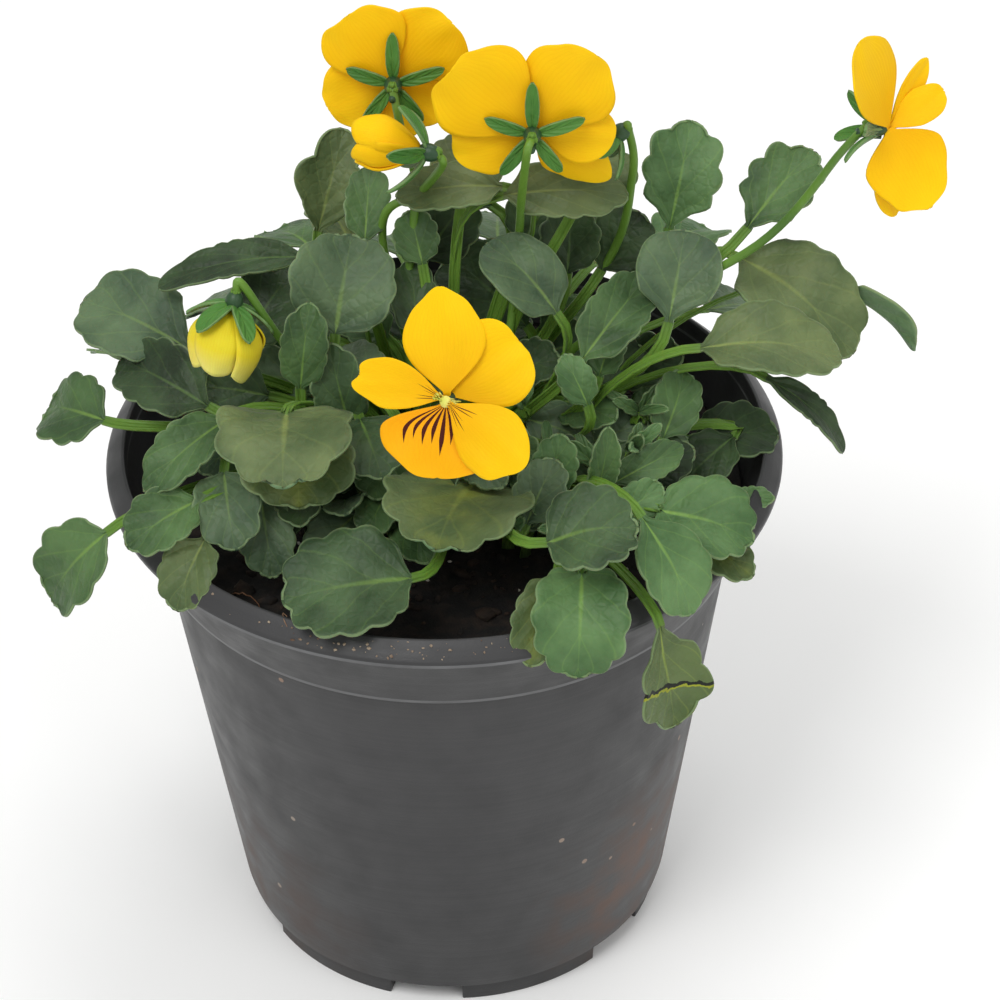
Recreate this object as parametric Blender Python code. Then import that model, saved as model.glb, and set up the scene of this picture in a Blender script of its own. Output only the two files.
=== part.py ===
"""Potted pansy: a yellow bedding pansy growing in a 12 cm plastic nursery pot.

Every piece is its own closed solid: the moulded pot, the compost, the crown, each leaf on
its leaf stalk, and for each bloom its flower stalk with the calyx and its petals.
Sizes are in millimetres, measured from the pot's axis and from the ground it stands on,
+Z up and the front of the plant towards -Y. An empty carries the pot's axis to its place.
"""

import math

import bmesh
import bpy
from mathutils import Vector

MM = 0.001

# Driving dimensions, in millimetres.
POT_AXIS_X = -7.0  # the plant leans right, so the pot stands left of its middle
POT_AXIS_Y = 0.0
RIM_RADIUS = 60.0  # a 12 cm pot
POT_HEIGHT = 103.0
WALL = 1.2
FOOT_HEIGHT = 3.6
FEET = 6
COMPOST_TOP = 92.0  # 11 mm below the rim, room for watering
GAP = 0.3  # clearance between pieces that touch
LEAF_THICKNESS = 0.9
LEAF_STALK_WIDTH = 1.6
PETAL_THICKNESS = 0.6
FLOWER_STALK_RADIUS = 0.8

SPIN_STEPS = 54  # 9 for each foot and the gap beside it
ROUND_STEPS = 16  # round the small pieces

for old in list(bpy.data.objects):
    bpy.data.objects.remove(old, do_unlink=True)

pot_axis = bpy.data.objects.new("pot_axis", None)
pot_axis.location = (POT_AXIS_X * MM, POT_AXIS_Y * MM, 0)
bpy.context.collection.objects.link(pot_axis)


def material(name, colour, roughness):
    """A Principled material; colour is linear RGB."""
    made = bpy.data.materials.new(name)
    made.use_nodes = True
    shader = made.node_tree.nodes["Principled BSDF"]
    shader.inputs["Base Color"].default_value = (*colour, 1)
    shader.inputs["Roughness"].default_value = roughness
    shader.inputs["Metallic"].default_value = 0
    return made


POT_PLASTIC = material("pot_plastic", (0.070, 0.072, 0.074), 0.5)
COMPOST = material("compost", (0.010, 0.008, 0.006), 0.95)
STALK_GREEN = material("stalk_green", (0.13, 0.32, 0.03), 0.5)
LEAF_GREEN = material("leaf_green", (0.06, 0.14, 0.05), 0.55)
PETAL_YELLOW = material("petal_yellow", (1.0, 0.60, 0.0), 0.6)
PETAL_LEMON = material("petal_lemon", (0.80, 0.70, 0.06), 0.6)


def add_object(name, bm, finish):
    """Turn a bmesh in millimetres into a named object on the pot's axis, faces outwards."""
    bmesh.ops.recalc_face_normals(bm, faces=bm.faces)
    if bm.calc_volume(signed=True) < 0:
        bmesh.ops.reverse_faces(bm, faces=bm.faces)
    bmesh.ops.scale(bm, vec=(MM, MM, MM), verts=bm.verts)
    mesh = bpy.data.meshes.new(name)
    bm.to_mesh(mesh)
    bm.free()
    mesh.materials.append(finish)
    mesh.shade_smooth()
    mesh.set_sharp_from_angle(angle=math.radians(40))
    made = bpy.data.objects.new(name, mesh)
    made.parent = pot_axis
    bpy.context.collection.objects.link(made)
    return made


def turned(profile, steps=SPIN_STEPS):
    """Spin a closed half section of (radius, height) points round the axis."""
    bm = bmesh.new()
    points = [bm.verts.new((radius, 0, height)) for radius, height in profile]
    edges = [bm.edges.new(pair) for pair in zip(points, points[1:])]
    if profile[0][0] > 0:
        edges.append(bm.edges.new((points[-1], points[0])))
    bmesh.ops.spin(
        bm, geom=points + edges, axis=(0, 0, 1), cent=(0, 0, 0),
        angle=math.tau, steps=steps, use_merge=True,
    )
    bmesh.ops.remove_doubles(bm, verts=bm.verts, dist=0.01)
    return bm


def thicken(bm, thickness):
    """Give a sheet its thickness and close its edge."""
    bm.normal_update()
    bmesh.ops.solidify(bm, geom=bm.faces, thickness=thickness)
    bmesh.ops.remove_doubles(bm, verts=bm.verts, dist=0.01)


# ---------------------------------------------------------------- pot and compost

COLLAR_FOOT = 84.2  # height where the collar band meets the tapering wall
COLLAR_RADIUS = 51.8
BASE_RADIUS = 40.4
FLOOR = FOOT_HEIGHT + 0.3
FOOT_OUTER = 39.0
FOOT_INNER = 36.2
HOLE_RADIUS = 4.0
HOLE_RING = 26.0
HOLES = 6


def pot():
    """Moulded pot: tapered wall, flared collar, sloping lip and a floor on six feet."""
    bm = turned([
        (0, FLOOR),
        (FOOT_INNER, FLOOR),
        (FOOT_INNER, FOOT_HEIGHT),
        (FOOT_OUTER, FOOT_HEIGHT),
        (BASE_RADIUS, FOOT_HEIGHT + 1.4),
        (BASE_RADIUS + 0.6, FOOT_HEIGHT + 3.4),
        (COLLAR_RADIUS - 0.2, COLLAR_FOOT - 1.0),
        (COLLAR_RADIUS, COLLAR_FOOT),
        (COLLAR_RADIUS + 0.8, COLLAR_FOOT + 0.6),
        (RIM_RADIUS - 1.6, POT_HEIGHT - 5.0),
        (RIM_RADIUS, POT_HEIGHT - 4.6),
        (RIM_RADIUS, POT_HEIGHT - 3.6),
        (RIM_RADIUS - 3.0, POT_HEIGHT),
        (RIM_RADIUS - 3.6, POT_HEIGHT - 0.3),
        (RIM_RADIUS - 3.6, POT_HEIGHT - 4.6),
        (COLLAR_RADIUS - 0.7, COLLAR_FOOT + 0.6),
        (COLLAR_RADIUS - 0.2 - WALL, COLLAR_FOOT - 1.0),
        (BASE_RADIUS + 0.6 - WALL, FLOOR + 2.4),
        (BASE_RADIUS - 0.6 - WALL, FLOOR + WALL),
        (0, FLOOR + WALL),
    ])
    # Six feet: the ring under the wall is drawn down, with a gap left after each one.
    pitch = 360 / FEET
    first_gap = -97.5  # the middle of the gap nearest the front, in degrees
    ring = []
    for face in bm.faces:
        centre = face.calc_center_median()
        radius = math.hypot(centre.x, centre.y)
        level = all(abs(v.co.z - FOOT_HEIGHT) < 0.01 for v in face.verts)
        turn = math.degrees(math.atan2(centre.y, centre.x)) - first_gap
        from_gap = abs((turn + pitch / 2) % pitch - pitch / 2)
        if level and FOOT_INNER < radius < FOOT_OUTER and from_gap > pitch / 6:
            ring.append(face)
    drawn = bmesh.ops.extrude_face_region(bm, geom=ring)
    lowered = [item for item in drawn["geom"] if isinstance(item, bmesh.types.BMVert)]
    bmesh.ops.translate(bm, vec=(0, 0, -FOOT_HEIGHT), verts=lowered)
    bmesh.ops.delete(bm, geom=ring, context="FACES_ONLY")
    made = add_object("pot", bm, POT_PLASTIC)

    cutter = bmesh.new()
    for index in range(HOLES):
        turn = math.tau * index / HOLES
        hole = bmesh.ops.create_cone(
            cutter, cap_ends=True, segments=14, radius1=HOLE_RADIUS, radius2=HOLE_RADIUS, depth=6,
        )
        place = (HOLE_RING * math.cos(turn), HOLE_RING * math.sin(turn), FLOOR + WALL / 2)
        bmesh.ops.translate(cutter, vec=place, verts=hole["verts"])
    drill = add_object("drain_hole_cutter", cutter, POT_PLASTIC)
    drill.hide_render = True
    drill.display_type = "WIRE"
    cut = made.modifiers.new("drain_holes", "BOOLEAN")
    cut.operation = "DIFFERENCE"
    cut.object = drill


def compost():
    """The compost fills the pot to just under the collar's top, a little domed."""
    bm = turned([
        (0, FLOOR + WALL + GAP),
        (BASE_RADIUS - 0.6 - WALL - GAP - 0.1, FLOOR + WALL + GAP),
        (BASE_RADIUS + 0.6 - WALL - GAP, FLOOR + 2.7),
        (COLLAR_RADIUS - 0.2 - WALL - GAP, COLLAR_FOOT - 0.9),
        (COLLAR_RADIUS - 0.7 - GAP, COLLAR_FOOT + 0.9),
        (COLLAR_RADIUS + 1.2, COLLAR_FOOT + 6.0),
        (COLLAR_RADIUS, COLLAR_FOOT + 7.0),
        (34, COMPOST_TOP),
        (0, COMPOST_TOP),
    ])
    add_object("compost", bm, COMPOST)


CROWN_RADIUS = 6.5
CROWN_TOP = COMPOST_TOP + 6.0


def crown():
    """The short woody crown at soil level that the flower stalks spring from."""
    foot = COMPOST_TOP + GAP
    bm = turned([
        (0, foot),
        (CROWN_RADIUS - 0.5, foot),
        (CROWN_RADIUS, foot + 1.5),
        (CROWN_RADIUS - 0.6, CROWN_TOP - 1.0),
        (CROWN_RADIUS - 1.4, CROWN_TOP),
        (0, CROWN_TOP),
    ], ROUND_STEPS)
    add_object("crown", bm, STALK_GREEN)


# ---------------------------------------------------------------- leaves

STALK_STEPS = 5
BLADE_STEPS = 6
ACROSS = 4


def bezier(a, b, c, d, t):
    """A point on the cubic curve from a to d."""
    s = 1 - t
    return a * s**3 + b * 3 * s * s * t + c * 3 * s * t * t + d * t**3


def leaf(name, foot, base, tip, half_width, face, arch=0.12, cup=0.15):
    """One leaf as a strip: a narrow leaf stalk from foot to base, then the blade to tip.

    face is the way the blade's upper side looks; arch and cup are shares of its size.
    """
    foot = Vector((*foot, COMPOST_TOP + GAP))
    base, tip, face = Vector(base), Vector(tip), Vector(face)
    along = (tip - base).normalized()
    side = along.cross(face).normalized()
    up = side.cross(along).normalized()
    reach = (base - foot).length
    rise = foot + Vector((0, 0, 0.5 * reach))
    arrive = base - along * 0.25 * reach - Vector((0, 0, 0.05 * reach))
    steps = STALK_STEPS + BLADE_STEPS

    def centre(u):
        """The middle line; u runs from 0 at the foot to 1 at the tip."""
        step = u * steps
        if step <= STALK_STEPS:
            return bezier(foot, rise, arrive, base, step / STALK_STEPS)
        s = (step - STALK_STEPS) / BLADE_STEPS
        return base.lerp(tip, s) + up * (arch * (tip - base).length * 4 * s * (1 - s))

    def half(u):
        """Half the width of the strip at u."""
        s = max(0.0, (u * steps - STALK_STEPS) / BLADE_STEPS)
        blade = half_width * math.sin(math.pi * min(s, 0.97) ** 0.8) ** 0.6 if s > 0 else 0
        return max(LEAF_STALK_WIDTH / 2, blade)

    bm = bmesh.new()
    bmesh.ops.create_grid(bm, x_segments=steps, y_segments=ACROSS, size=0.5)
    for vert in bm.verts:
        u = vert.co.x + 0.5
        v = vert.co.y * 2
        w = half(u)
        here = centre(u)
        ahead = (centre(min(1, u + 0.02)) - centre(max(0, u - 0.02))).normalized()
        across = (side - ahead * side.dot(ahead)).normalized()
        raised = across.cross(ahead) * (cup * w * (abs(v) ** 1.5 - 0.4) if w > 2 else 0)
        vert.co = here + across * (v * w) + raised
    thicken(bm, LEAF_THICKNESS)
    # The foot of the stalk stands flat on the compost.
    for vert in bm.verts:
        if (vert.co - foot).length < LEAF_STALK_WIDTH:
            vert.co.z = foot.z
    add_object(name, bm, LEAF_GREEN)


# ---------------------------------------------------------------- flowers

TUBE_SIDES = 10
CALYX_RADIUS = 1.7
CALYX_LENGTH = 3.4
SEPAL_LENGTH = 5.0
PETAL_RING = CALYX_RADIUS + 0.5
CLAW_WIDTH = 1.1


def smooth_route(points, count):
    """Count + 1 points on a smooth curve through the given ones."""
    points = [Vector(p) for p in points]
    ends = [points[0] * 2 - points[1], *points, points[-1] * 2 - points[-2]]
    route = []
    for index in range(count + 1):
        place = index / count * (len(points) - 1)
        k = min(int(place), len(points) - 2)
        t = place - k
        p0, p1, p2, p3 = ends[k:k + 4]
        route.append(0.5 * (
            p1 * 2 + (p2 - p0) * t + (p0 * 2 - p1 * 5 + p2 * 4 - p3) * t * t
            + (p1 * 3 - p0 - p2 * 3 + p3) * t**3
        ))
    return route


def flower_stalk(name, route, facing, count=12, sepal=SEPAL_LENGTH):
    """Stalk, calyx cup and five sepals in one piece; route ends behind the flower."""
    facing = Vector(facing).normalized()
    centre = Vector(route[-1])
    neck = centre - facing * CALYX_LENGTH
    path = smooth_route([*route[:-1], neck], count)
    rings = [(point, FLOWER_STALK_RADIUS) for point in path]
    rings += [
        (centre - facing * (CALYX_LENGTH * 0.75), CALYX_RADIUS * 0.8),
        (centre - facing * (CALYX_LENGTH * 0.35), CALYX_RADIUS),
        (centre, CALYX_RADIUS * 0.8),
    ]
    bm = bmesh.new()
    loops = []
    for index, (point, radius) in enumerate(rings):
        before = rings[max(0, index - 1)][0]
        after = rings[min(len(rings) - 1, index + 1)][0]
        ahead = facing if index > count else (after - before).normalized()
        if index == 0:
            ahead = Vector((0, 0, 1))
            right = Vector((1, 0, 0))
        right = (right - ahead * right.dot(ahead)).normalized()
        up = ahead.cross(right)
        loop = []
        for k in range(TUBE_SIDES):
            turn = math.tau * k / TUBE_SIDES
            offset = right * math.cos(turn) + up * math.sin(turn)
            loop.append(bm.verts.new(point + offset * radius))
        loops.append(loop)
    bands = []
    for low, high in zip(loops, loops[1:]):
        band = []
        for k in range(TUBE_SIDES):
            n = (k + 1) % TUBE_SIDES
            band.append(bm.faces.new((low[k], low[n], high[n], high[k])))
        bands.append(band)
    bm.faces.new(loops[0][::-1])
    bm.faces.new(loops[-1])
    # Every second facet of the calyx is drawn out into a sepal that lies back.
    drawn = bmesh.ops.extrude_discrete_faces(bm, faces=bands[-2][::2])
    for face in drawn["faces"]:
        middle = face.calc_center_median()
        outward = middle - centre
        outward = (outward - facing * outward.dot(facing)).normalized()
        shift = outward * sepal - facing * (0.35 * sepal)
        for vert in face.verts:
            vert.co = middle + (vert.co - middle) * 0.35 + shift
    add_object(name, bm, STALK_GREEN)


def petal(name, base, tip, half_width, face):
    """One petal: a thin fan from its claw at base to tip, its inner side towards face."""
    base, tip, face = Vector(base), Vector(tip), Vector(face)
    along = (tip - base).normalized()
    side = along.cross(face).normalized()
    length = (tip - base).length
    bm = bmesh.new()
    bmesh.ops.create_grid(bm, x_segments=5, y_segments=4, size=0.5)
    for vert in bm.verts:
        u = vert.co.x + 0.5
        v = vert.co.y * 2
        w = max(CLAW_WIDTH / 2, half_width * math.sin(math.pi * min(u, 0.96) ** 1.2) ** 0.55)
        vert.co = base + along * (length * u * (1 - 0.12 * v * v)) + side * (v * w)
    thicken(bm, PETAL_THICKNESS)
    add_object(name, bm, PETAL_YELLOW)


def bloom(name, route, facing, top, petals):
    """An open flower: stalk with calyx, then its petals, each its own piece.

    Each petal has its name, its angle clockwise from the top as seen from the flower's face,
    its length, half its width, and how far its claw and its end stand forwards.
    """
    flower_stalk(f"{name}_stalk", route, facing)
    centre = Vector(route[-1])
    facing = Vector(facing).normalized()
    top = Vector(top)
    top = (top - facing * top.dot(facing)).normalized()
    right = top.cross(facing)
    for kind, angle, length, half_width, level, lean in petals:
        turn = math.radians(angle)
        out = top * math.cos(turn) + right * math.sin(turn)
        base = centre + out * PETAL_RING + facing * level
        tip = base + out * length + facing * lean
        petal(f"{name}_petal_{kind}", base, tip, half_width, facing)


def closed_bloom(name, route, facing, length, radius, finish, sepal=SEPAL_LENGTH):
    """A nodding bud or closing flower: stalk with calyx, then its folded petals."""
    flower_stalk(f"{name}_stalk", route, facing, sepal=sepal)
    facing = Vector(facing).normalized()
    centre = Vector(route[-1]) + facing * GAP
    bm = turned([
        (0, 0),
        (CALYX_RADIUS * 0.6, 0.05 * length),
        (0.62 * radius, 0.2 * length),
        (0.95 * radius, 0.5 * length),
        (radius, 0.72 * length),
        (0.75 * radius, 0.93 * length),
        (0, length),
    ], ROUND_STEPS)
    spin = Vector((0, 0, 1)).rotation_difference(facing).to_matrix()
    bmesh.ops.dissolve_degenerate(bm, dist=0.01, edges=bm.edges)
    bmesh.ops.rotate(bm, matrix=spin, cent=(0, 0, 0), verts=bm.verts)
    bmesh.ops.translate(bm, vec=centre, verts=bm.verts)
    add_object(f"{name}_petals", bm, finish)


def seat(x, y):
    """The point on top of the crown where a flower stalk starts."""
    return (x, y, CROWN_TOP + GAP)


# ---------------------------------------------------------------- the plant

pot()
compost()
crown()

# Front leaves, lying over the compost and the front of the rim.
leaf("leaf_front_low", (-1, -16), (-5, -47, 108), (-26, -50, 106), 10, (0, -0.35, 0.94))
leaf("leaf_front_middle", (3, -12), (5, -27, 112), (-1, -47, 114), 11, (0, -0.2, 1))
leaf("leaf_front_over_rim", (12, -18), (23, -49, 110), (22, -60, 97), 8, (0, -0.8, 0.6), 0.25)
leaf("leaf_front_right", (10, -12), (17, -49, 117), (32, -48, 119), 8, (0.1, -0.35, 0.93))
leaf("leaf_right_pointing_down", (17, -17), (33, -43, 117), (41, -51, 103), 7, (0.3, -0.5, 0.8))
leaf("leaf_right_front", (20, -12), (37, -31, 109), (52, -36, 106), 9, (0.3, -0.3, 0.9))
leaf("leaf_right_over_rim", (14, -21), (36, -52, 101), (39, -54, 81), 6.5, (0.55, -0.8, 0.1), 0)

# Left leaves.
leaf("leaf_left_cordate", (-7, -9), (-26, -22, 124), (-26, -40, 122), 11, (0, -0.3, 0.95))
leaf("leaf_left_inner", (-13, -12), (-37, -25, 114), (-35, -36, 106), 6, (-0.1, -0.6, 0.8))
leaf("leaf_left_low", (-18, -10), (-57, -31, 106), (-68, -31, 92), 7.5, (-0.5, -0.6, 0.6))
leaf("leaf_left_long_stalk", (-20, -4), (-59, -7, 112), (-71, 4, 107), 6.5, (-0.3, -0.5, 0.8))
leaf("leaf_left_broad", (-15, 4), (-43, 0, 121), (-63, 11, 125), 9, (-0.2, -0.5, 0.8))
leaf("leaf_left_round", (-9, 5), (-18, -8, 130), (-15, 4, 142), 9, (0, -0.8, 0.6))

# Middle and right leaves.
leaf("leaf_middle_dark", (5, 9), (15, 11, 118), (1, 19, 128), 7.5, (0, -0.6, 0.8))
leaf("leaf_middle_light", (10, -4), (20, -4, 131), (8, 4, 140), 6.5, (0, -0.4, 0.9))
leaf("leaf_right_round", (14, -2), (39, -6, 130), (42, 4, 142), 7, (0, -0.8, 0.6))
leaf("leaf_right_long", (20, -8), (44, -12, 129), (68, -13, 127), 8, (0, -0.5, 0.87))
leaf("leaf_right_bronze", (19, 6), (52, 11, 132), (71, -3, 121), 8, (0.1, -0.5, 0.86))
leaf("leaf_right_narrow", (23, 1), (71, 6, 128), (82, -2, 121), 5, (0.6, 0.5, 0.6))

# Upright leaves at the back, and the low ones behind them.
leaf("leaf_back_lobed", (-8, 9), (-22, 24, 130), (-17, 32, 146), 6.5, (0, -0.95, 0.3))
leaf("leaf_back_upright", (12, 12), (40, 14, 136), (44, 25, 151), 7, (0, -0.9, 0.4))
leaf("leaf_back_right", (17, 9), (53, 8, 140), (65, 20, 148), 7, (-0.3, -0.75, 0.6))
leaf("leaf_rear_left", (-15, 12), (-36, 34, 108), (-48, 42, 100), 8, (-0.3, 0.3, 0.9))
leaf("leaf_rear_middle", (0, 17), (-8, 44, 112), (-12, 60, 105), 9, (0, 0.4, 0.9))
leaf("leaf_rear_right", (12, 15), (28, 40, 112), (34, 54, 104), 9, (0.2, 0.4, 0.9))
leaf("leaf_rear_far_left", (-20, 5), (-50, 18, 108), (-62, 30, 102), 8, (-0.3, 0.2, 0.9))
leaf("leaf_rear_far_right", (18, 12), (48, 30, 108), (60, 38, 102), 8, (0.3, 0.3, 0.9))

# Open blooms, closing blooms and a bud. Two open blooms look away from the front.
bloom(
    "bloom_front", [seat(1, -4), (2, -18, 124), (2, -30, 140), (1.5, -41, 140)],
    (-0.1, -0.85, 0.5), (0.35, 0, 1),
    [
        ("upper_left", -27, 15.5, 7.0, 0.0, 0.0),
        ("upper_right", 33, 13.5, 7.5, -0.9, 0.0),
        ("left", -98, 13.0, 4.5, 1.0, 0.0),
        ("right", 110, 14.0, 4.5, 0.5, 0.0),
        ("lip", 155, 10.5, 8.5, 2.0, 1.0),
    ],
)
bloom(
    "bloom_back_left", [seat(-4, 1), (-6, 3, 125), (-4, 10, 148), (-6, 5, 163), (-7, 10, 169)],
    (0.05, 0.98, -0.15), (0, 0, 1),
    [
        ("upper_left", -43, 12.5, 6.5, 0.0, 0.0),
        ("upper_right", 33, 12.5, 6.5, -0.9, 0.0),
        ("left", -115, 9.5, 4.5, 0.7, 0.0),
        ("right", 113, 11.0, 5.0, 0.7, 0.0),
        ("lip", 180, 10.0, 6.0, 1.6, 1.0),
    ],
)
bloom(
    "bloom_back_middle",
    [seat(3, -1), (11, 3, 118), (13.5, 7, 138), (14, -3, 153), (15, -10, 167), (16, -5, 168)],
    (0.05, 0.98, -0.15), (0, 0, 1),
    [
        ("upper_left", -37, 15.0, 8.0, 0.0, 0.0),
        ("upper_right", 48, 16.0, 8.5, -0.9, 0.0),
        ("left", -95, 11.5, 4.5, 0.7, 0.0),
        ("right", 105, 11.5, 5.0, 0.7, 0.0),
        ("lip", -130, 12.5, 4.5, 1.6, 3.0),
    ],
)

# The right bloom is seen from its side: upper petals swept back, side petals forwards.
RIGHT_BLOOM = Vector((74, -6, 168))
flower_stalk(
    "bloom_right_stalk",
    [seat(4, 1.5), (26, 2, 122), (54, -2, 143), (67, -6, 164), RIGHT_BLOOM],
    (0.95, 0.1, -0.3), sepal=4.2,
)
for kind, claw, reach, half_width, face in [
    ("upper_left", (1.9, -0.8, 1.8), (-3, -3, 16), 6.0, (0.8, -0.6, 0)),
    ("upper_right", (0.8, 1.6, 1.3), (5, 8, 12), 4.5, (0.6, -0.8, 0.3)),
    ("left", (1.3, 1.7, -0.6), (11, 5, 2), 4.0, (0.5, -0.3, 0.8)),
    ("right", (0.9, -1.8, 0.2), (9, -5, -8), 6.5, (0.3, -0.9, 0.2)),
    ("lip", (0.8, 0.2, -1.6), (3.5, -3, -13), 5.0, (0.3, -0.9, 0.2)),
]:
    base = RIGHT_BLOOM + Vector(claw)
    petal(f"bloom_right_petal_{kind}", base, base + Vector(reach), half_width, face)

closed_bloom(
    "closing_bloom_left",
    [seat(-3.5, -2.5), (-14, -7, 111), (-26, -9, 128), (-33, -10, 142), (-35, -11, 137)],
    (-0.25, -0.3, -0.92), 13, 6.5, PETAL_LEMON,
)
closed_bloom(
    "closing_bloom_back",
    [seat(-1.5, 4.5), (-10, 10, 138), (-3, 5, 150), (1, -4, 161), (-3, -4, 164)],
    (-0.95, 0.2, 0.1), 11, 4.5, PETAL_YELLOW,
)
closed_bloom(
    "bud_right", [seat(2.5, 3.5), (28, 10, 130), (33, 6, 152), (32, 2, 164), (29, 2, 162)],
    (-0.8, -0.1, -0.5), 7, 2.8, PETAL_LEMON, 3.5,
)
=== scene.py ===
"""The looks of a potted pansy: a yellow bedding pansy in a round nursery pot.

Lengths are in millimetres from the pot's axis and from the ground, +Z up and the front of the
plant towards -Y, as in the CAD source. finish_piece() turns them into the frame's metres.
"""

import math
import random

import bmesh
import bpy
from mathutils import Matrix, Vector, noise


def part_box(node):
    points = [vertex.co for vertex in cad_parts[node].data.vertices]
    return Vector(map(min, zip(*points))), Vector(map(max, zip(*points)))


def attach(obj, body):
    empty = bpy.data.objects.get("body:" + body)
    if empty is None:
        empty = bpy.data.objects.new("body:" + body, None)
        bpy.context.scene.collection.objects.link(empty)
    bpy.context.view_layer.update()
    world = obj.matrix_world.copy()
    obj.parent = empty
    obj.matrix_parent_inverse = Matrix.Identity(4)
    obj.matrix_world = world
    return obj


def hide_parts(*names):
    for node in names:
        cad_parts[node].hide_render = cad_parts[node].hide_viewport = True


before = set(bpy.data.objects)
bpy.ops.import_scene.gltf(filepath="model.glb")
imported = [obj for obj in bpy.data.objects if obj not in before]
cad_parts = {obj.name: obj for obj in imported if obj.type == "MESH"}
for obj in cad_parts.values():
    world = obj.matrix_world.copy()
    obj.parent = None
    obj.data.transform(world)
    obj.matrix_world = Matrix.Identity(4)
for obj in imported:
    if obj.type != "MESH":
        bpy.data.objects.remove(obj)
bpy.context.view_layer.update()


# ---------------------------------------------------------------- pot
# A round nursery pot, injection-moulded in recycled black polypropylene, so it is a dark, a
# little uneven grey with a satin skin. The moulding leaves a step under the flared collar,
# a sloping lip and six short feet; handling adds dried splashes and potting dust, and thin
# painted highlights run under the lip and along the step.

MM = 0.001
pot_low, pot_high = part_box("pot")
AXIS = Vector(((pot_low[0] + pot_high[0]) / 2, (pot_low[1] + pot_high[1]) / 2, 0))
RIM_RADIUS = (pot_high[0] - pot_low[0]) / 2 / MM
POT_HEIGHT = pot_high[2] / MM
STEP_HEIGHT = 85.6
STEP_RADIUS = RIM_RADIUS - 8.2
BASE_RADIUS = RIM_RADIUS - 19.6
WALL = 1.2
FOOT_HEIGHT = 3.6
FOOT_OUTER = BASE_RADIUS - 1.4
FOOT_INNER = FOOT_OUTER - 2.8
FLOOR = FOOT_HEIGHT + 0.3
LIP_TOP_RADIUS = RIM_RADIUS - 3.1
LIP_SLOPE = 0.96  # the lip's fall outwards from its top, in mm for each mm
ROUND_POT = 180


def linear(hex_colour):
    """The linear RGBA of an sRGB hex colour."""
    channels = [int(hex_colour[i:i + 2], 16) / 255 for i in (1, 3, 5)]
    return (*[c / 12.92 if c <= 0.04045 else ((c + 0.055) / 1.055) ** 2.4 for c in channels], 1)


def new_material(name, roughness, **inputs):
    """A Principled material for a plastic, soil or plant surface, and its shader."""
    made = bpy.data.materials.new(name)
    made.use_nodes = True
    shader = made.node_tree.nodes["Principled BSDF"]
    shader.inputs["Metallic"].default_value = 0
    shader.inputs["Roughness"].default_value = roughness
    for key, value in inputs.items():
        shader.inputs[key.replace("_", " ")].default_value = value
    return made, shader


def join(material, source, target):
    """Link a socket, or a node's first output in use, to an input."""
    if isinstance(source, bpy.types.Node):
        source = next(socket for socket in source.outputs if socket.enabled)
    material.node_tree.links.new(source, target)


def add_node(material, kind, inputs=(), **settings):
    """Add a shader node: settings are its properties; inputs are values, or what joins them."""
    made = material.node_tree.nodes.new("ShaderNode" + kind)
    for key, value in settings.items():
        setattr(made, key, value)
    for key, value in dict(inputs).items():
        if isinstance(value, (bpy.types.Node, bpy.types.NodeSocket)):
            join(material, value, made.inputs[key])
        else:
            made.inputs[key].default_value = value
    return made


def finish_piece(name, bm, finish, slot, *replaced, under=None):
    """Turn a bmesh in millimetres round the pot's axis into a piece of the object."""
    bmesh.ops.scale(bm, vec=(MM, MM, MM), verts=bm.verts)
    bmesh.ops.translate(bm, vec=AXIS, verts=bm.verts)
    mesh = bpy.data.meshes.new(name)
    bm.to_mesh(mesh)
    bm.free()
    mesh.materials.append(finish)
    if under:
        mesh.materials.append(under)
    mesh.shade_smooth()
    piece = bpy.data.objects.new(name, mesh)
    bpy.context.collection.objects.link(piece)
    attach(piece, "root")
    if replaced:
        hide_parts(*replaced)
    return piece


def turned(profile, steps):
    """Spin a half section of (radius, height) points round the axis and close it."""
    bm = bmesh.new()
    points = [bm.verts.new((radius, 0, height)) for radius, height in profile]
    edges = [bm.edges.new(pair) for pair in zip(points, points[1:])]
    bmesh.ops.spin(
        bm, geom=points + edges, axis=(0, 0, 1), cent=(0, 0, 0),
        angle=math.tau, steps=steps, use_merge=True,
    )
    bmesh.ops.remove_doubles(bm, verts=bm.verts, dist=0.005)
    bmesh.ops.recalc_face_normals(bm, faces=bm.faces)
    return bm


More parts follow.
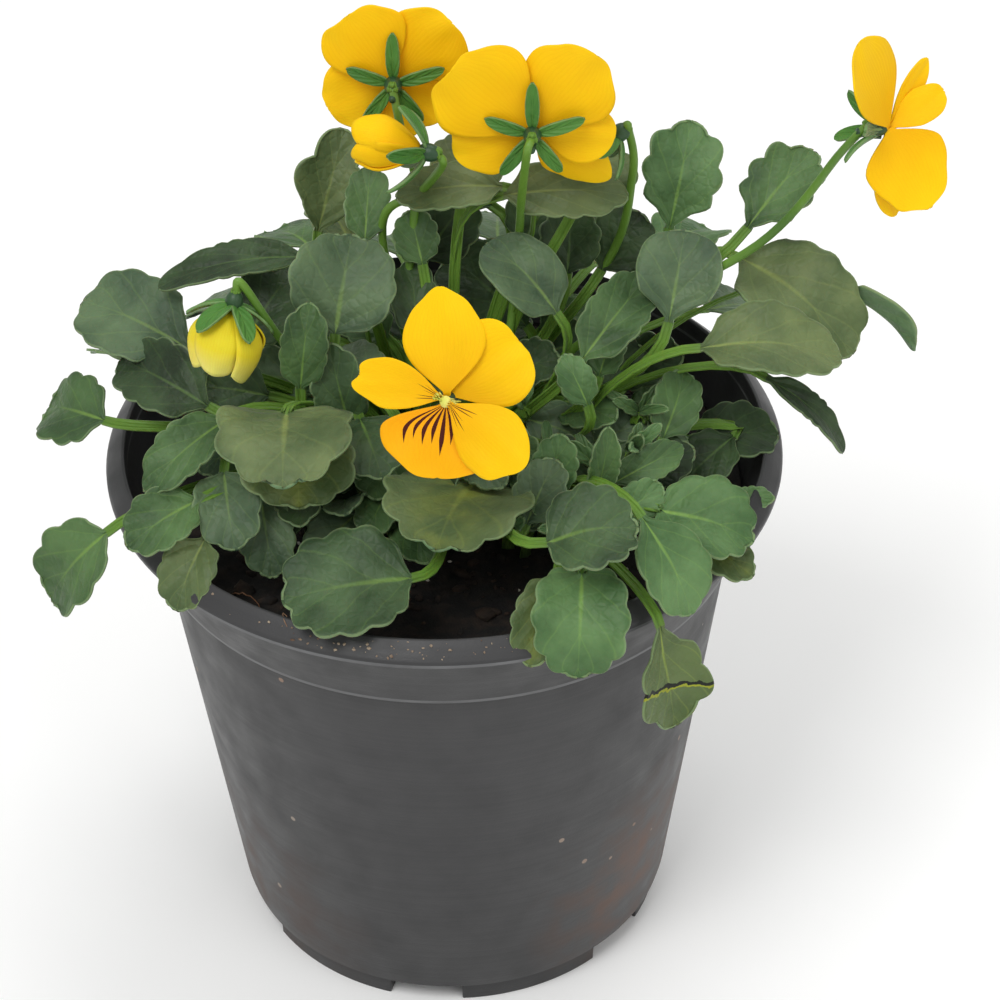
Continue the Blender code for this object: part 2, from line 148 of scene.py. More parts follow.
def pot_plastic():
    """Moulded polypropylene: satin, faintly streaked by the mould, dusty, with painted highlights
    along its edges.
    """
    made, shader = new_material("moulded_polypropylene", 0.46, IOR=1.49)
    place = add_node(made, "TexCoord").outputs["Object"]
    # Broad cloudiness of the recycled resin, about 25 mm across.
    cloud = add_node(made, "TexNoise", {"Vector": place, "Scale": 40, "Detail": 3})
    body = add_node(made, "Mix", {
        0: cloud, 6: linear("#2C2C2D"), 7: linear("#313132"),
    }, data_type="RGBA")
    # Level streaks left by the turned mould, 1 mm apart.
    level = add_node(made, "Mapping", {"Vector": place, "Scale": (3, 3, 160)})
    streak = add_node(made, "TexNoise", {"Vector": level, "Scale": 6, "Detail": 4})
    streaked = add_node(made, "MapRange", {0: streak, 1: 0.4, 2: 0.75, 3: 0, 4: 0.14})
    # Brown soil splashed low down on the right, and a little on the left, fading upwards.
    splashes = []
    for splash, strength in [((37, -24, 20), 1.0), ((-36, -20, 16), 0.45)]:
        apart = add_node(made, "VectorMath", {
            0: place, 1: AXIS + Vector(splash) * MM,
        }, operation="DISTANCE")
        splashes.append(add_node(made, "MapRange", {
            0: apart.outputs["Value"], 1: 0.03, 2: 0.004, 3: 0, 4: strength,
        }))
    near = add_node(made, "Math", {0: splashes[0], 1: splashes[1]}, operation="MAXIMUM")
    smear = add_node(made, "TexNoise", {"Vector": place, "Scale": 140, "Detail": 6})
    smeared = add_node(made, "MapRange", {0: smear, 1: 0.4, 2: 0.65, 3: 0, 4: 0.9})
    soiled = add_node(made, "Math", {0: near, 1: smeared}, operation="MULTIPLY")
    # Dried specks of potting dust, under 1 mm, a few in each square centimetre.
    cells = add_node(made, "TexVoronoi", {"Vector": place, "Scale": 230})
    dot = add_node(made, "Math", {0: cells.outputs["Distance"], 1: 0.13}, operation="LESS_THAN")
    pick = add_node(made, "SeparateColor", {0: cells.outputs["Color"]})
    few = add_node(made, "Math", {0: pick, 1: 0.9}, operation="GREATER_THAN")
    speck = add_node(made, "Math", {0: dot, 1: few}, operation="MULTIPLY")
    grain = add_node(made, "Mix", {
        0: pick.outputs[1], 6: linear("#7A5A44"), 7: linear("#8F887E"),
    }, data_type="RGBA")
    layers = [(streaked, linear("#434241")), (soiled, linear("#64493B")), (speck, grain)]
    # Painted highlights: thin pale lines under the lip and along the step, where the moulding's
    # edges catch the light.
    height = add_node(made, "SeparateXYZ", {0: place}).outputs[2]
    for edge_height in (POT_HEIGHT - 3.4, STEP_HEIGHT + 0.1):
        edge = add_node(made, "Math", {
            0: height, 1: edge_height * MM, 2: 0.0003,
        }, operation="COMPARE")
        painted_edge_highlight = add_node(made, "Math", {0: edge, 1: smear}, operation="MULTIPLY")
        layers.append((painted_edge_highlight, linear("#737475")))
    for share, colour in layers:
        body = add_node(made, "Mix", {0: share, 6: body, 7: colour}, data_type="RGBA")
    join(made, body, shader.inputs["Base Color"])
    shine = add_node(made, "MapRange", {0: smear, 1: 0.3, 2: 0.7, 3: 0.38, 4: 0.58})
    join(made, shine, shader.inputs["Roughness"])
    # Skin of the moulding: a leathery grain 0.3 mm across, and the level streaks.
    skin = add_node(made, "TexNoise", {"Vector": place, "Scale": 3000, "Detail": 2})
    grooves = add_node(made, "Bump", {"Height": streak, "Strength": 0.25, "Distance": 0.0002})
    rough = add_node(made, "Bump", {
        "Height": skin, "Strength": 0.3, "Distance": 0.0001, "Normal": grooves,
    })
    join(made, rough, shader.inputs["Normal"])
    return made


POT_PLASTIC = pot_plastic()

bm = turned([
    (0, FLOOR),
    (FOOT_INNER, FLOOR),
    (FOOT_INNER, FOOT_HEIGHT),
    (FOOT_OUTER, FOOT_HEIGHT),
    (BASE_RADIUS, FOOT_HEIGHT + 1.2),
    (BASE_RADIUS + 0.5, FOOT_HEIGHT + 3.2),
    (STEP_RADIUS - 0.45, STEP_HEIGHT - 1.6),
    (STEP_RADIUS - 0.45, STEP_HEIGHT - 0.7),
    (STEP_RADIUS + 0.55, STEP_HEIGHT - 0.6),
    (STEP_RADIUS + 0.9, STEP_HEIGHT - 0.2),
    (STEP_RADIUS + 1.0, STEP_HEIGHT + 0.5),
    (RIM_RADIUS - 1.8, POT_HEIGHT - 4.5),
    (RIM_RADIUS - 0.4, POT_HEIGHT - 4.1),
    (RIM_RADIUS, POT_HEIGHT - 3.7),
    (RIM_RADIUS, POT_HEIGHT - 3.1),
    (RIM_RADIUS - 0.4, POT_HEIGHT - 2.5),
    (RIM_RADIUS - 2.8, POT_HEIGHT - 0.2),
    (LIP_TOP_RADIUS, POT_HEIGHT),
    (RIM_RADIUS - 3.5, POT_HEIGHT - 0.2),
    (RIM_RADIUS - 3.7, POT_HEIGHT - 4.6),
    (STEP_RADIUS - 0.6, STEP_HEIGHT + 0.6),
    (STEP_RADIUS - 0.3 - WALL, STEP_HEIGHT - 1.0),
    (BASE_RADIUS + 0.6 - WALL, FLOOR + 2.4),
    (BASE_RADIUS - 0.6 - WALL, FLOOR + WALL),
    (0, FLOOR + WALL),
], ROUND_POT)
# The feet: the ring under the wall is drawn down, with a gap left at every sixth of a turn.
FOOT_PITCH = 60
FIRST_GAP = -97.5
ring = []
for face in bm.faces:
    middle = face.calc_center_median()
    turn = math.degrees(math.atan2(middle.y, middle.x)) - FIRST_GAP
    from_gap = abs((turn + FOOT_PITCH / 2) % FOOT_PITCH - FOOT_PITCH / 2)
    level = all(abs(vert.co.z - FOOT_HEIGHT) < 0.01 for vert in face.verts)
    in_ring = FOOT_INNER < math.hypot(middle.x, middle.y) < FOOT_OUTER
    if level and in_ring and from_gap > FOOT_PITCH / 6:
        ring.append(face)
drawn = bmesh.ops.extrude_face_region(bm, geom=ring)
lowered = [item for item in drawn["geom"] if isinstance(item, bmesh.types.BMVert)]
bmesh.ops.translate(bm, vec=(0, 0, -FOOT_HEIGHT), verts=lowered)
bmesh.ops.delete(bm, geom=ring, context="FACES_ONLY")
bmesh.ops.recalc_face_normals(bm, faces=bm.faces)
# Moulded corners are never sharp: ease the feet and the floor's edge.
sharp = [edge for edge in bm.edges if edge.is_manifold and edge.calc_face_angle(0) > 1.0]
bmesh.ops.bevel(
    bm, geom=sharp, offset=0.25, offset_type="OFFSET", segments=2, profile=0.5,
    affect="EDGES", material=-1,
)
pot = finish_piece("pot_moulding", bm, POT_PLASTIC, "pot_plastic", "pot")
pot.data.set_sharp_from_angle(angle=math.radians(35))

# Six drain holes, punched through the floor.
HOLE_RADIUS = 4.0
HOLE_RING = 26.0
punch = bmesh.new()
for index in range(6):
    turn = math.tau * index / 6
    hole = bmesh.ops.create_cone(
        punch, cap_ends=True, segments=32, radius1=HOLE_RADIUS, radius2=HOLE_RADIUS, depth=6,
    )
    place = Vector((HOLE_RING * math.cos(turn), HOLE_RING * math.sin(turn), FLOOR + WALL / 2))
    bmesh.ops.translate(punch, vec=place, verts=hole["verts"])
bmesh.ops.scale(punch, vec=(MM, MM, MM), verts=punch.verts)
bmesh.ops.translate(punch, vec=AXIS, verts=punch.verts)
punch_mesh = bpy.data.meshes.new("punch")
punch.to_mesh(punch_mesh)
punch.free()
punch_tool = bpy.data.objects.new("punch", punch_mesh)
bpy.context.collection.objects.link(punch_tool)
cut = pot.modifiers.new("drain_holes", "BOOLEAN")
cut.operation = "DIFFERENCE"
cut.object = punch_tool
graph = bpy.context.evaluated_depsgraph_get()
punched = bpy.data.meshes.new_from_object(pot.evaluated_get(graph))
pot.modifiers.clear()
pot.data = punched
bpy.data.objects.remove(punch_tool, do_unlink=True)


# ---------------------------------------------------------------- compost
# Dark bark and peat compost, filled loosely to a finger's width under the rim. Its top is
# crumbly, with bark chips, white perlite grains and fine roots that have come up with the plant.

COMPOST_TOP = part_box("compost")[1][2] / MM


def surface(made, shader, colour, height, strength, depth):
    """Give a material its colour, and a relief of that depth in metres from a height."""
    relief = add_node(made, "Bump", {"Height": height, "Strength": strength, "Distance": depth})
    join(made, colour, shader.inputs["Base Color"])
    join(made, relief, shader.inputs["Normal"])
    return made


def compost_soil():
    """Bark and peat: almost black when moist, matt, with browner dry crumbs."""
    made, shader = new_material("bark_compost", 0.95)
    place = add_node(made, "TexCoord").outputs["Object"]
    clods = add_node(made, "TexNoise", {"Vector": place, "Scale": 350, "Detail": 8})
    tint = add_node(made, "MapRange", {0: clods, 1: 0.45, 2: 0.75, 3: 0, 4: 1})
    soil = add_node(made, "Mix", {
        0: tint, 6: linear("#0E0C0A"), 7: linear("#2B2119"),
    }, data_type="RGBA")
    return surface(made, shader, soil, clods, 0.9, 0.001)


def crumb_finish(name, dark, light):
    """Loose grit and bark: each crumb a shade of its own, by where it lies."""
    made, shader = new_material(name, 0.9)
    place = add_node(made, "TexCoord").outputs["Object"]
    shade = add_node(made, "TexNoise", {"Vector": place, "Scale": 300, "Detail": 2})
    spread = add_node(made, "MapRange", {0: shade, 1: 0.35, 2: 0.65, 3: 0, 4: 1})
    tone = add_node(made, "Mix", {
        0: spread, 6: linear(dark), 7: linear(light),
    }, data_type="RGBA")
    grit = add_node(made, "TexNoise", {"Vector": place, "Scale": 2500, "Detail": 3})
    return surface(made, shader, tone, grit, 0.6, 0.0003)


def soil_height(x, y):
    """The height of the crumbly surface at a point."""
    return COMPOST_TOP - 0.6 + 1.1 * noise.fractal(Vector((x, y, 0)) * 0.13, 0.8, 2.1, 4)


SOIL_EDGE = STEP_RADIUS + 0.9
TOP_RINGS = 44
top_rings = [(SOIL_EDGE * ring / TOP_RINGS, COMPOST_TOP) for ring in range(TOP_RINGS, -1, -1)]
bm = turned([
    (0, FLOOR + WALL + 0.4),
    (BASE_RADIUS - 2.4, FLOOR + WALL + 0.4),
    (BASE_RADIUS - 1.0, FLOOR + 2.8),
    (STEP_RADIUS - 2.0, STEP_HEIGHT - 1.2),
    (STEP_RADIUS - 1.2, STEP_HEIGHT + 0.9),
    (SOIL_EDGE + 0.2, STEP_HEIGHT + 6.0),
    *top_rings,
], 120)
for vert in bm.verts:
    if vert.co.z > COMPOST_TOP - 0.1:
        vert.co.z = soil_height(vert.co.x, vert.co.y)
finish_piece("compost_fill", bm, compost_soil(), "compost", "compost")


def scatter(name, finish, count, smallest, largest, flatness, seed, where):
    """Loose grains of a few faces each, lying where where() puts them."""
    chance = random.Random(seed)
    bm = bmesh.new()
    for _ in range(count):
        size = smallest + (largest - smallest) * chance.random() ** 2
        grain = bmesh.ops.create_icosphere(bm, subdivisions=1, radius=1)
        for vert in grain["verts"]:
            vert.co *= chance.uniform(0.75, 1.15)
        stretch = Vector((size, size * chance.uniform(0.4, 0.9), size * flatness)) / 2
        turn = Matrix.Rotation(chance.uniform(0, math.tau), 3, "Z")
        tilt = Matrix.Rotation(chance.gauss(0, 0.35), 3, "X")
        spot = where(chance)
        bmesh.ops.scale(bm, vec=stretch, verts=grain["verts"])
        bmesh.ops.rotate(bm, matrix=turn @ tilt, cent=(0, 0, 0), verts=grain["verts"])
        bmesh.ops.translate(bm, vec=spot, verts=grain["verts"])
    finish_piece(name, bm, finish, "compost")


def on_soil(chance):
    """A place anywhere on the compost."""
    radius = SOIL_EDGE * 0.97 * math.sqrt(chance.random())
    turn = chance.uniform(0, math.tau)
    x, y = radius * math.cos(turn), radius * math.sin(turn)
    return Vector((x, y, soil_height(x, y) + 0.1))


def on_front_lip(chance):
    """A place on the lip's slope at the front, where dust and grit have settled."""
    turn = math.radians(chance.gauss(-96, 17))
    across = chance.uniform(0.5, 2.7)
    radius = RIM_RADIUS - across
    height = POT_HEIGHT - 2.9 + across * LIP_SLOPE
    return Vector((radius * math.cos(turn), radius * math.sin(turn), height))


BARK = crumb_finish("bark_chips", "#120E0A", "#35261A")
PERLITE = crumb_finish("perlite_grains", "#B9B2A4", "#E4E0D6")
DUST = crumb_finish("potting_dust", "#5A4334", "#A3937F")
scatter("bark_chips", BARK, 420, 1.2, 5.0, 0.45, 3, on_soil)
scatter("perlite_grains", PERLITE, 46, 0.7, 1.9, 0.8, 5, on_soil)
scatter("lip_grit", DUST, 70, 0.25, 1.0, 0.6, 8, on_front_lip)


def thread(bm, points, radius, sides=5, taper=1.0):
    """A thin closed tube through the points, ending at taper times its radius."""
    right = Vector((0.3, 0.7, 0.2))
    loops = []
    for index, point in enumerate(points):
        before = points[max(0, index - 1)]
        after = points[min(len(points) - 1, index + 1)]
        ahead = (after - before).normalized()
        right = (right - ahead * right.dot(ahead)).normalized()
        frame_matrix = Matrix((right, ahead.cross(right), ahead)).transposed()
        share = index / (len(points) - 1)
        circle = bmesh.ops.create_circle(
            bm, segments=sides, radius=radius * (1 + (taper - 1) * share), cap_ends=False,
        )["verts"]
        bmesh.ops.rotate(bm, matrix=frame_matrix, cent=(0, 0, 0), verts=circle)
        bmesh.ops.translate(bm, vec=point, verts=circle)
        edges = {edge for vert in circle for edge in vert.link_edges}
        loops.append((circle, list(edges)))
    for (_, low), (_, high) in zip(loops, loops[1:]):
        bmesh.ops.bridge_loops(bm, edges=low + high)
    for circle, _ in (loops[0], loops[-1]):
        bmesh.ops.contextual_create(bm, geom=circle)


ROOT_FIBRE = crumb_finish("root_fibre", "#6E4A32", "#A9876A")
bm = bmesh.new()
chance = random.Random(11)
for turn, start, length in [
    (-128, 50, 14), (-126, 52, 10), (-121, 51, 12), (-131, 49, 9), (-118, 53, 8), (-124, 50, 11),
    (-122, 53, 9), (-129, 52, 8), (-115, 52, 9), (-104, 53, 11), (-96, 55, 9), (-84, 54, 7),
    (-140, 49, 8), (60, 30, 14), (120, 34, 12),
]:
    heading = math.radians(turn) + chance.uniform(1.0, 2.2)
    x, y = start * math.cos(math.radians(turn)), start * math.sin(math.radians(turn))
    points = []
    for step in range(9):
        heading += chance.uniform(-0.35, 0.35)
        x += math.cos(heading) * length / 9
        y += math.sin(heading) * length / 9
        # A fibre that reaches the wall lies up against it and over the lip's slope.
        away = math.hypot(x, y)
        drawn_back = min(1, (RIM_RADIUS - 2) / away)
        x, y, away = x * drawn_back, y * drawn_back, away * drawn_back
        lift = soil_height(x, y) + 0.5 + 1.6 * math.sin(step / 8 * math.pi) * chance.uniform(0.6, 1)
        on_lip = POT_HEIGHT + 0.1 - max(0, away - LIP_TOP_RADIUS) * LIP_SLOPE
        points.append(Vector((x, y, on_lip if away > RIM_RADIUS - 3.8 else lift)))
    thread(bm, points, 0.16, taper=0.5)
finish_piece("root_fibres", bm, ROOT_FIBRE, "compost")


# ---------------------------------------------------------------- crown
# The short base that all stalks spring from at soil level: a knot of stubby green stems,
# knobbly, in the same skin as the flower stalks.


def stalk_skin(name, green, light, flush):
    """Juicy stem skin: green, waxy, ribbed along its length, flushed darker in places."""
    made, shader = new_material(name, 0.42, IOR=1.42)
    place = add_node(made, "TexCoord").outputs["Object"]
    mottle = add_node(made, "TexNoise", {"Vector": place, "Scale": 180, "Detail": 3})
    skin = add_node(made, "Mix", {
        0: mottle, 6: linear(green), 7: linear(light),
    }, data_type="RGBA")
    patch = add_node(made, "TexNoise", {"Vector": place, "Scale": 45, "Detail": 2})
    flushed = add_node(made, "MapRange", {0: patch, 1: 0.52, 2: 0.75, 3: 0, 4: 0.8})
    skin = add_node(made, "Mix", {
        0: flushed, 6: skin, 7: linear(flush),
    }, data_type="RGBA")
    stretched = add_node(made, "Mapping", {"Vector": place, "Scale": (1, 1, 0.15)})
    ribs = add_node(made, "TexNoise", {"Vector": stretched, "Scale": 2200, "Detail": 2})
    return surface(made, shader, skin, ribs, 0.35, 0.0002)


STALK_SKIN = stalk_skin("flower_stalk_skin", "#527B24", "#70963A", "#3A5F28")
crown_low, crown_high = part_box("crown")
CROWN_TOP = crown_high[2] / MM
CROWN_RADIUS = (crown_high[0] - crown_low[0]) / 2 / MM
bm = turned([
    (0, COMPOST_TOP - 1.0),
    (CROWN_RADIUS, COMPOST_TOP - 1.0),
    (CROWN_RADIUS, COMPOST_TOP + 1.5),
    (CROWN_RADIUS - 0.5, COMPOST_TOP + 3.5),
    (CROWN_RADIUS - 0.7, CROWN_TOP - 0.8),
    (CROWN_RADIUS - 1.6, CROWN_TOP),
    (CROWN_RADIUS / 2, CROWN_TOP),
    (0, CROWN_TOP),
], 48)
for vert in bm.verts:
    knobbly = noise.noise(vert.co * 0.35)
    vert.co.x *= 1 + 0.12 * knobbly
    vert.co.y *= 1 + 0.12 * knobbly
finish_piece("crown_stems", bm, STALK_SKIN, "stalk_green", "crown")


# ---------------------------------------------------------------- leaves
# Pansy leaves: a soft oval blade with a scalloped margin on a channelled leaf stalk. The
# upper side is blue-green to olive with a pale midrib and a thin pale edge; the underside is
# paler and matt. A few are flushed bronze or yellow where they are old or in the sun.

STALK_STEPS = 12
BLADE_STEPS = 44
ACROSS = 14
LEAF_THICKNESS = 0.45
STALK_SHARE = 0.25  # the part of the UV map that the leaf stalk takes


def leaf_skin(name, dark, light, glow=None, vein="#7E9B4C", crease=False):
    """The upper side of a leaf; the UV map runs along it and, with 0.5 the midrib, across."""
    made, shader = new_material(
        name, 0.5, IOR=1.4, Subsurface_Weight=0.08, Subsurface_Scale=0.001,
        Specular_IOR_Level=0.4, Sheen_Weight=0.04, Sheen_Roughness=0.5,
    )
    coordinates = add_node(made, "TexCoord")
    place = coordinates.outputs["Object"]
    along_across = add_node(made, "SeparateXYZ", {0: coordinates.outputs["UV"]})
    along, across = along_across.outputs[0], along_across.outputs[1]
    mottle = add_node(made, "TexNoise", {"Vector": place, "Scale": 110, "Detail": 5})
    tint = add_node(made, "MapRange", {0: mottle, 1: 0.35, 2: 0.65, 3: 0, 4: 1})
    skin = add_node(made, "Mix", {
        0: tint, 6: linear(dark), 7: linear(light),
    }, data_type="RGBA")
    layers = []
    # From the midrib at 0 to the margin at 1.
    side = add_node(made, "MapRange", {0: across, 1: 0, 2: 1, 3: -1, 4: 1})
    out = add_node(made, "Math", {0: side}, operation="ABSOLUTE")
    if glow:
        # An old leaf yellows from the midrib outwards.
        fade = add_node(made, "MapRange", {0: out, 1: 0.7, 2: 0.05, 3: 0, 4: 1})
        patchy = add_node(made, "Math", {
            0: fade, 1: tint,
        }, operation="MULTIPLY")
        layers.append((patchy, glow))
    # Side veins: they leave the midrib slanting to the tip, and stray a little.
    curve = add_node(made, "Math", {0: out, 1: 0.85}, operation="POWER")
    lag = add_node(made, "Math", {0: curve, 1: -0.3, 2: along}, operation="MULTIPLY_ADD")
    strayed = add_node(made, "Math", {0: mottle, 1: 0.09, 2: lag}, operation="MULTIPLY_ADD")
    count = add_node(made, "Math", {0: strayed, 1: 11.0}, operation="MULTIPLY")
    wave = add_node(made, "Math", {0: count, 1: 1.0}, operation="PINGPONG")
    side_vein = add_node(made, "MapRange", {0: wave, 1: 0.12, 2: 0.0, 3: 0, 4: 0.16})
    # The midrib, wide and pale at the stalk, gone before the tip.
    thin = add_node(made, "MapRange", {0: along, 1: STALK_SHARE, 2: 0.8, 3: 0.11, 4: 0.02})
    on_rib = add_node(made, "Math", {0: out, 1: thin}, operation="DIVIDE")
    rib = add_node(made, "MapRange", {0: on_rib, 1: 1.0, 2: 0.3, 3: 0, 4: 1})
    fading = add_node(made, "MapRange", {0: along, 1: STALK_SHARE, 2: 0.75, 3: 0.95, 4: 0.12})
    rib = add_node(made, "Math", {0: rib, 1: fading}, operation="MULTIPLY")
    # The thin pale edge.
    edge = add_node(made, "MapRange", {0: out, 1: 0.955, 2: 1.0, 3: 0, 4: 0.45})
    # The leaf stalk is a brighter green than the blade.
    stalk = add_node(made, "MapRange", {
        0: along, 1: STALK_SHARE + 0.05, 2: STALK_SHARE - 0.02, 3: 0, 4: 1,
    })
    layers += [(side_vein, vein), (rib, vein), (edge, "#8BA372"), (stalk, "#5F842C")]
    if crease:
        # An old fold across the blade: a dead brown line beside a yellow one.
        torn = add_node(made, "TexNoise", {"Vector": place, "Scale": 600, "Detail": 4})
        slant = add_node(made, "Math", {0: across, 1: 0.1, 2: along}, operation="MULTIPLY_ADD")
        jagged = add_node(made, "Math", {
            0: torn, 1: 0.05, 2: slant,
        }, operation="MULTIPLY_ADD")
        for line_middle, tone in [(0.765, "#8E9526"), (0.753, "#14180C")]:
            line = add_node(made, "Math", {
                0: jagged, 1: line_middle, 2: 0.008,
            }, operation="COMPARE")
            layers.append((line, tone))
    for share, colour in layers:
        skin = add_node(made, "Mix", {0: share, 6: skin, 7: linear(colour)}, data_type="RGBA")
    # Puckered skin between the veins, 1 to 2 mm across, and the sunk midrib.
    net = add_node(made, "TexVoronoi", {"Vector": place, "Scale": 620}, feature="DISTANCE_TO_EDGE")
    raised = add_node(made, "MapRange", {0: net.outputs["Distance"], 1: 0, 2: 0.25, 3: 0, 4: 0.5})
    pucker = add_node(made, "TexNoise", {"Vector": place, "Scale": 500, "Detail": 5})
    sunk = add_node(made, "Math", {0: wave, 1: 1.4, 2: pucker}, operation="MULTIPLY_ADD")
    relief = add_node(made, "Math", {0: sunk, 1: raised}, operation="ADD")
    return surface(made, shader, skin, relief, 0.35, 0.0004)


BLUE_GREEN = leaf_skin("leaf_blue_green", "#3C5139", "#5A704E", vein="#7C984F")
# Painted shade: a darker copy of the leaf green, for leaves lying low or under others.
SHADE_GREEN = leaf_skin("leaf_shade_green", "#2A3F24", "#465E3A", vein="#6F8F40")
MID_GREEN = leaf_skin("leaf_mid_green", "#334C2A", "#527040", vein="#7B9C45")
FRESH_GREEN = leaf_skin("leaf_fresh_green", "#3E5E33", "#5F804E", vein="#83A84E")
# Painted shade in part: a deep leaf green, dark enough to stand for the shade among the inner and
# low leaves.
DEEP_AND_SHADED_GREEN = leaf_skin("leaf_deep_and_shaded_green", "#20301A", "#3B522E", vein="#587438")
OLIVE = leaf_skin("leaf_olive", "#44572E", "#607045", glow="#77812A", vein="#8D9A45")
BRONZE = leaf_skin("leaf_bronze", "#485A35", "#69784B", vein="#8A9852")
CREASED = leaf_skin("leaf_creased", "#485A30", "#5E6F42", vein="#9DB04A", crease=True)
UNDERSIDE = leaf_skin("leaf_underside", "#54704A", "#6C8760", vein="#86A060")


def bezier(a, b, c, d, t):
    """A point on the cubic curve from a to d."""
    s = 1 - t
    return a * s**3 + b * 3 * s * s * t + c * 3 * s * t * t + d * t**3


def face_sheet(bm, face):
    """Merge a sheet's doubled points and turn its upper side to look the way of face."""
    bmesh.ops.remove_doubles(bm, verts=bm.verts, dist=0.01)
    bmesh.ops.recalc_face_normals(bm, faces=bm.faces)
    bm.normal_update()
    looking = sum((f.normal * f.calc_area() for f in bm.faces), Vector())
    if looking.dot(face) < 0:
        bmesh.ops.reverse_faces(bm, faces=bm.faces)


def thicken(piece, thickness, offset=-1, material_offset=1):
    """Give a sheet its thickness, and its underside the second material."""
    body = piece.modifiers.new("thickness", "SOLIDIFY")
    body.thickness = thickness * MM
    body.offset = offset
    body.material_offset = material_offset


def leaf(
    name, foot, base, tip, half_width, face, arch=0.12, cup=0.22, skin=BLUE_GREEN,
    teeth=6, notch=0.13, broad=0.0, heart=0.0, wedge=0.18, ruffle=0.1,
):
    """One leaf from a grid: its stalk from foot to base, then the blade to tip.

    face is the way the upper side looks. teeth scallops a side, notch deep; broad shifts the
    width to the tip, heart draws lobes back past the stalk, wedge tapers into the stalk.
    """
    foot = Vector((*foot, COMPOST_TOP - 0.8)) if len(foot) == 2 else Vector(foot)
    base, tip, face = Vector(base), Vector(tip), Vector(face)
    along = (tip - base).normalized()
    side = along.cross(face).normalized()
    up = side.cross(along).normalized()
    length = (tip - base).length
    reach = (base - foot).length
    rise = foot + Vector((0, 0, 0.5 * reach))
    arrive = base - along * 0.25 * reach - Vector((0, 0, 0.05 * reach))
    offset = foot * 3.7

    def middle(share):
        """The middle line: share runs from -1 at the foot, past 0 at the base, to 1."""
        if share <= 0:
            return bezier(foot, rise, arrive, base, share + 1)
        return base + along * (length * share) + up * (arch * length * 4 * share * (1 - share))

    bm = bmesh.new()
    steps = STALK_STEPS + BLADE_STEPS
    bmesh.ops.create_grid(bm, x_segments=steps, y_segments=ACROSS, size=0.5)
    uv_map = bm.loops.layers.uv.new("leaf")
    for corner in (loop for face_ in bm.faces for loop in face_.loops):
        step = (corner.vert.co.x + 0.5) * steps
        if step < STALK_STEPS:
            place_along = STALK_SHARE * step / STALK_STEPS
        else:
            place_along = STALK_SHARE + (1 - STALK_SHARE) * (step - STALK_STEPS) / BLADE_STEPS
        corner[uv_map].uv = (place_along, corner.vert.co.y + 0.5)
    for vert in bm.verts:
        step = (vert.co.x + 0.5) * steps
        v = vert.co.y * 2
        stalk_half = 0.8 if reach > 6 else 0.5
        if step <= STALK_STEPS:
            share = step / STALK_STEPS - 1
            half = stalk_half * (1 + 0.25 * share * share)
            lift = 0.5 * abs(v) * stalk_half
            shift = 0
        else:
            angle = math.pi * (step - STALK_STEPS) / BLADE_STEPS
            share = (1 - math.cos(angle)) / 2
            oval = math.sin(angle) ** 0.85 * (1 - broad * math.cos(angle))
            half = half_width * oval * min(1, 0.15 + share / wedge if wedge else 1)
            half = max(half, stalk_half * (1 - share) ** 4, 0.02)
            # Scallops pull the margin in towards mid blade, least near the stalk.
            bearing = math.atan2(v * half, (share - 0.5) * length)
            pull = notch * (1 - abs(math.cos(teeth * bearing))) * (1 - abs(bearing / math.pi) ** 3)
            pull *= max(v * v, max(0, 2 * share - 1) ** 6)
            half *= 1 - pull
            shift = -(share - 0.5) * length * pull
            shift -= heart * length * abs(v) ** 1.6 * math.sin(math.pi * share**0.35)
            near_edge = v * half / half_width
            wander = noise.noise(offset + Vector((share * 2.2, near_edge * 1.3, 0)))
            lift = half * cup * (abs(v) ** 1.5 - 0.35)
            lift += ruffle * half_width * wander * (0.3 + near_edge**2) * 2
            lift -= 0.3 * math.exp(-(v * 7) ** 2) * (1 - share)
            vein_phase = math.tau * 4.1 * (share - 0.4 * abs(v) ** 0.85)
            lift -= 0.03 * half * math.cos(vein_phase) * abs(v) ** 0.5 * (1 - v * v)
        here = middle(share)
        ahead = (middle(min(1, share + 0.03)) - middle(max(-1, share - 0.03))).normalized()
        across = (side - ahead * side.dot(ahead)).normalized()
        above = across.cross(ahead)
        vert.co = here + across * (v * half) + above * lift + ahead * shift
    replaced = [name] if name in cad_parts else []
    face_sheet(bm, face)
    piece = finish_piece(f"{name}_blade", bm, skin, "leaf_green", *replaced, under=UNDERSIDE)
    thicken(piece, LEAF_THICKNESS)


# Front leaves, lying over the compost and the front of the rim.
leaf("leaf_front_low", (-1, -16), (-5, -47, 108), (-26, -50, 106), 10.5, (0, -0.35, 0.94),
     skin=SHADE_GREEN, wedge=0.1, broad=0.05)
leaf("leaf_front_middle", (3, -12), (5, -27, 112), (-1, -47, 114), 13, (0, -0.2, 1),
     skin=OLIVE, heart=0.15, wedge=0, cup=0.1)
leaf("leaf_front_over_rim", (12, -18), (23, -49, 110), (22, -60, 97), 8.2, (0, -0.8, 0.6), 0.25,
     skin=FRESH_GREEN, heart=0.12, wedge=0.05)
leaf("leaf_front_right", (10, -12), (17, -49, 117), (32, -48, 119), 8.5, (0.1, -0.35, 0.93),
     skin=SHADE_GREEN, wedge=0.08)
leaf("leaf_right_pointing_down", (17, -17), (33, -43, 117), (41, -51, 103), 6.5, (0.3, -0.5, 0.8),
     skin=FRESH_GREEN, wedge=0.3, teeth=5, notch=0.08)
leaf("leaf_right_front", (20, -12), (37, -31, 109), (52, -36, 106), 9, (0.3, -0.3, 0.9),
     skin=FRESH_GREEN, wedge=0.05, heart=0.08)
leaf("leaf_right_over_rim", (14, -21), (36, -52, 101), (39, -54, 81), 7, (0.55, -0.8, 0.1), 0,
     skin=CREASED, wedge=0.35, broad=0.25, teeth=3, notch=0.2, ruffle=0.14)

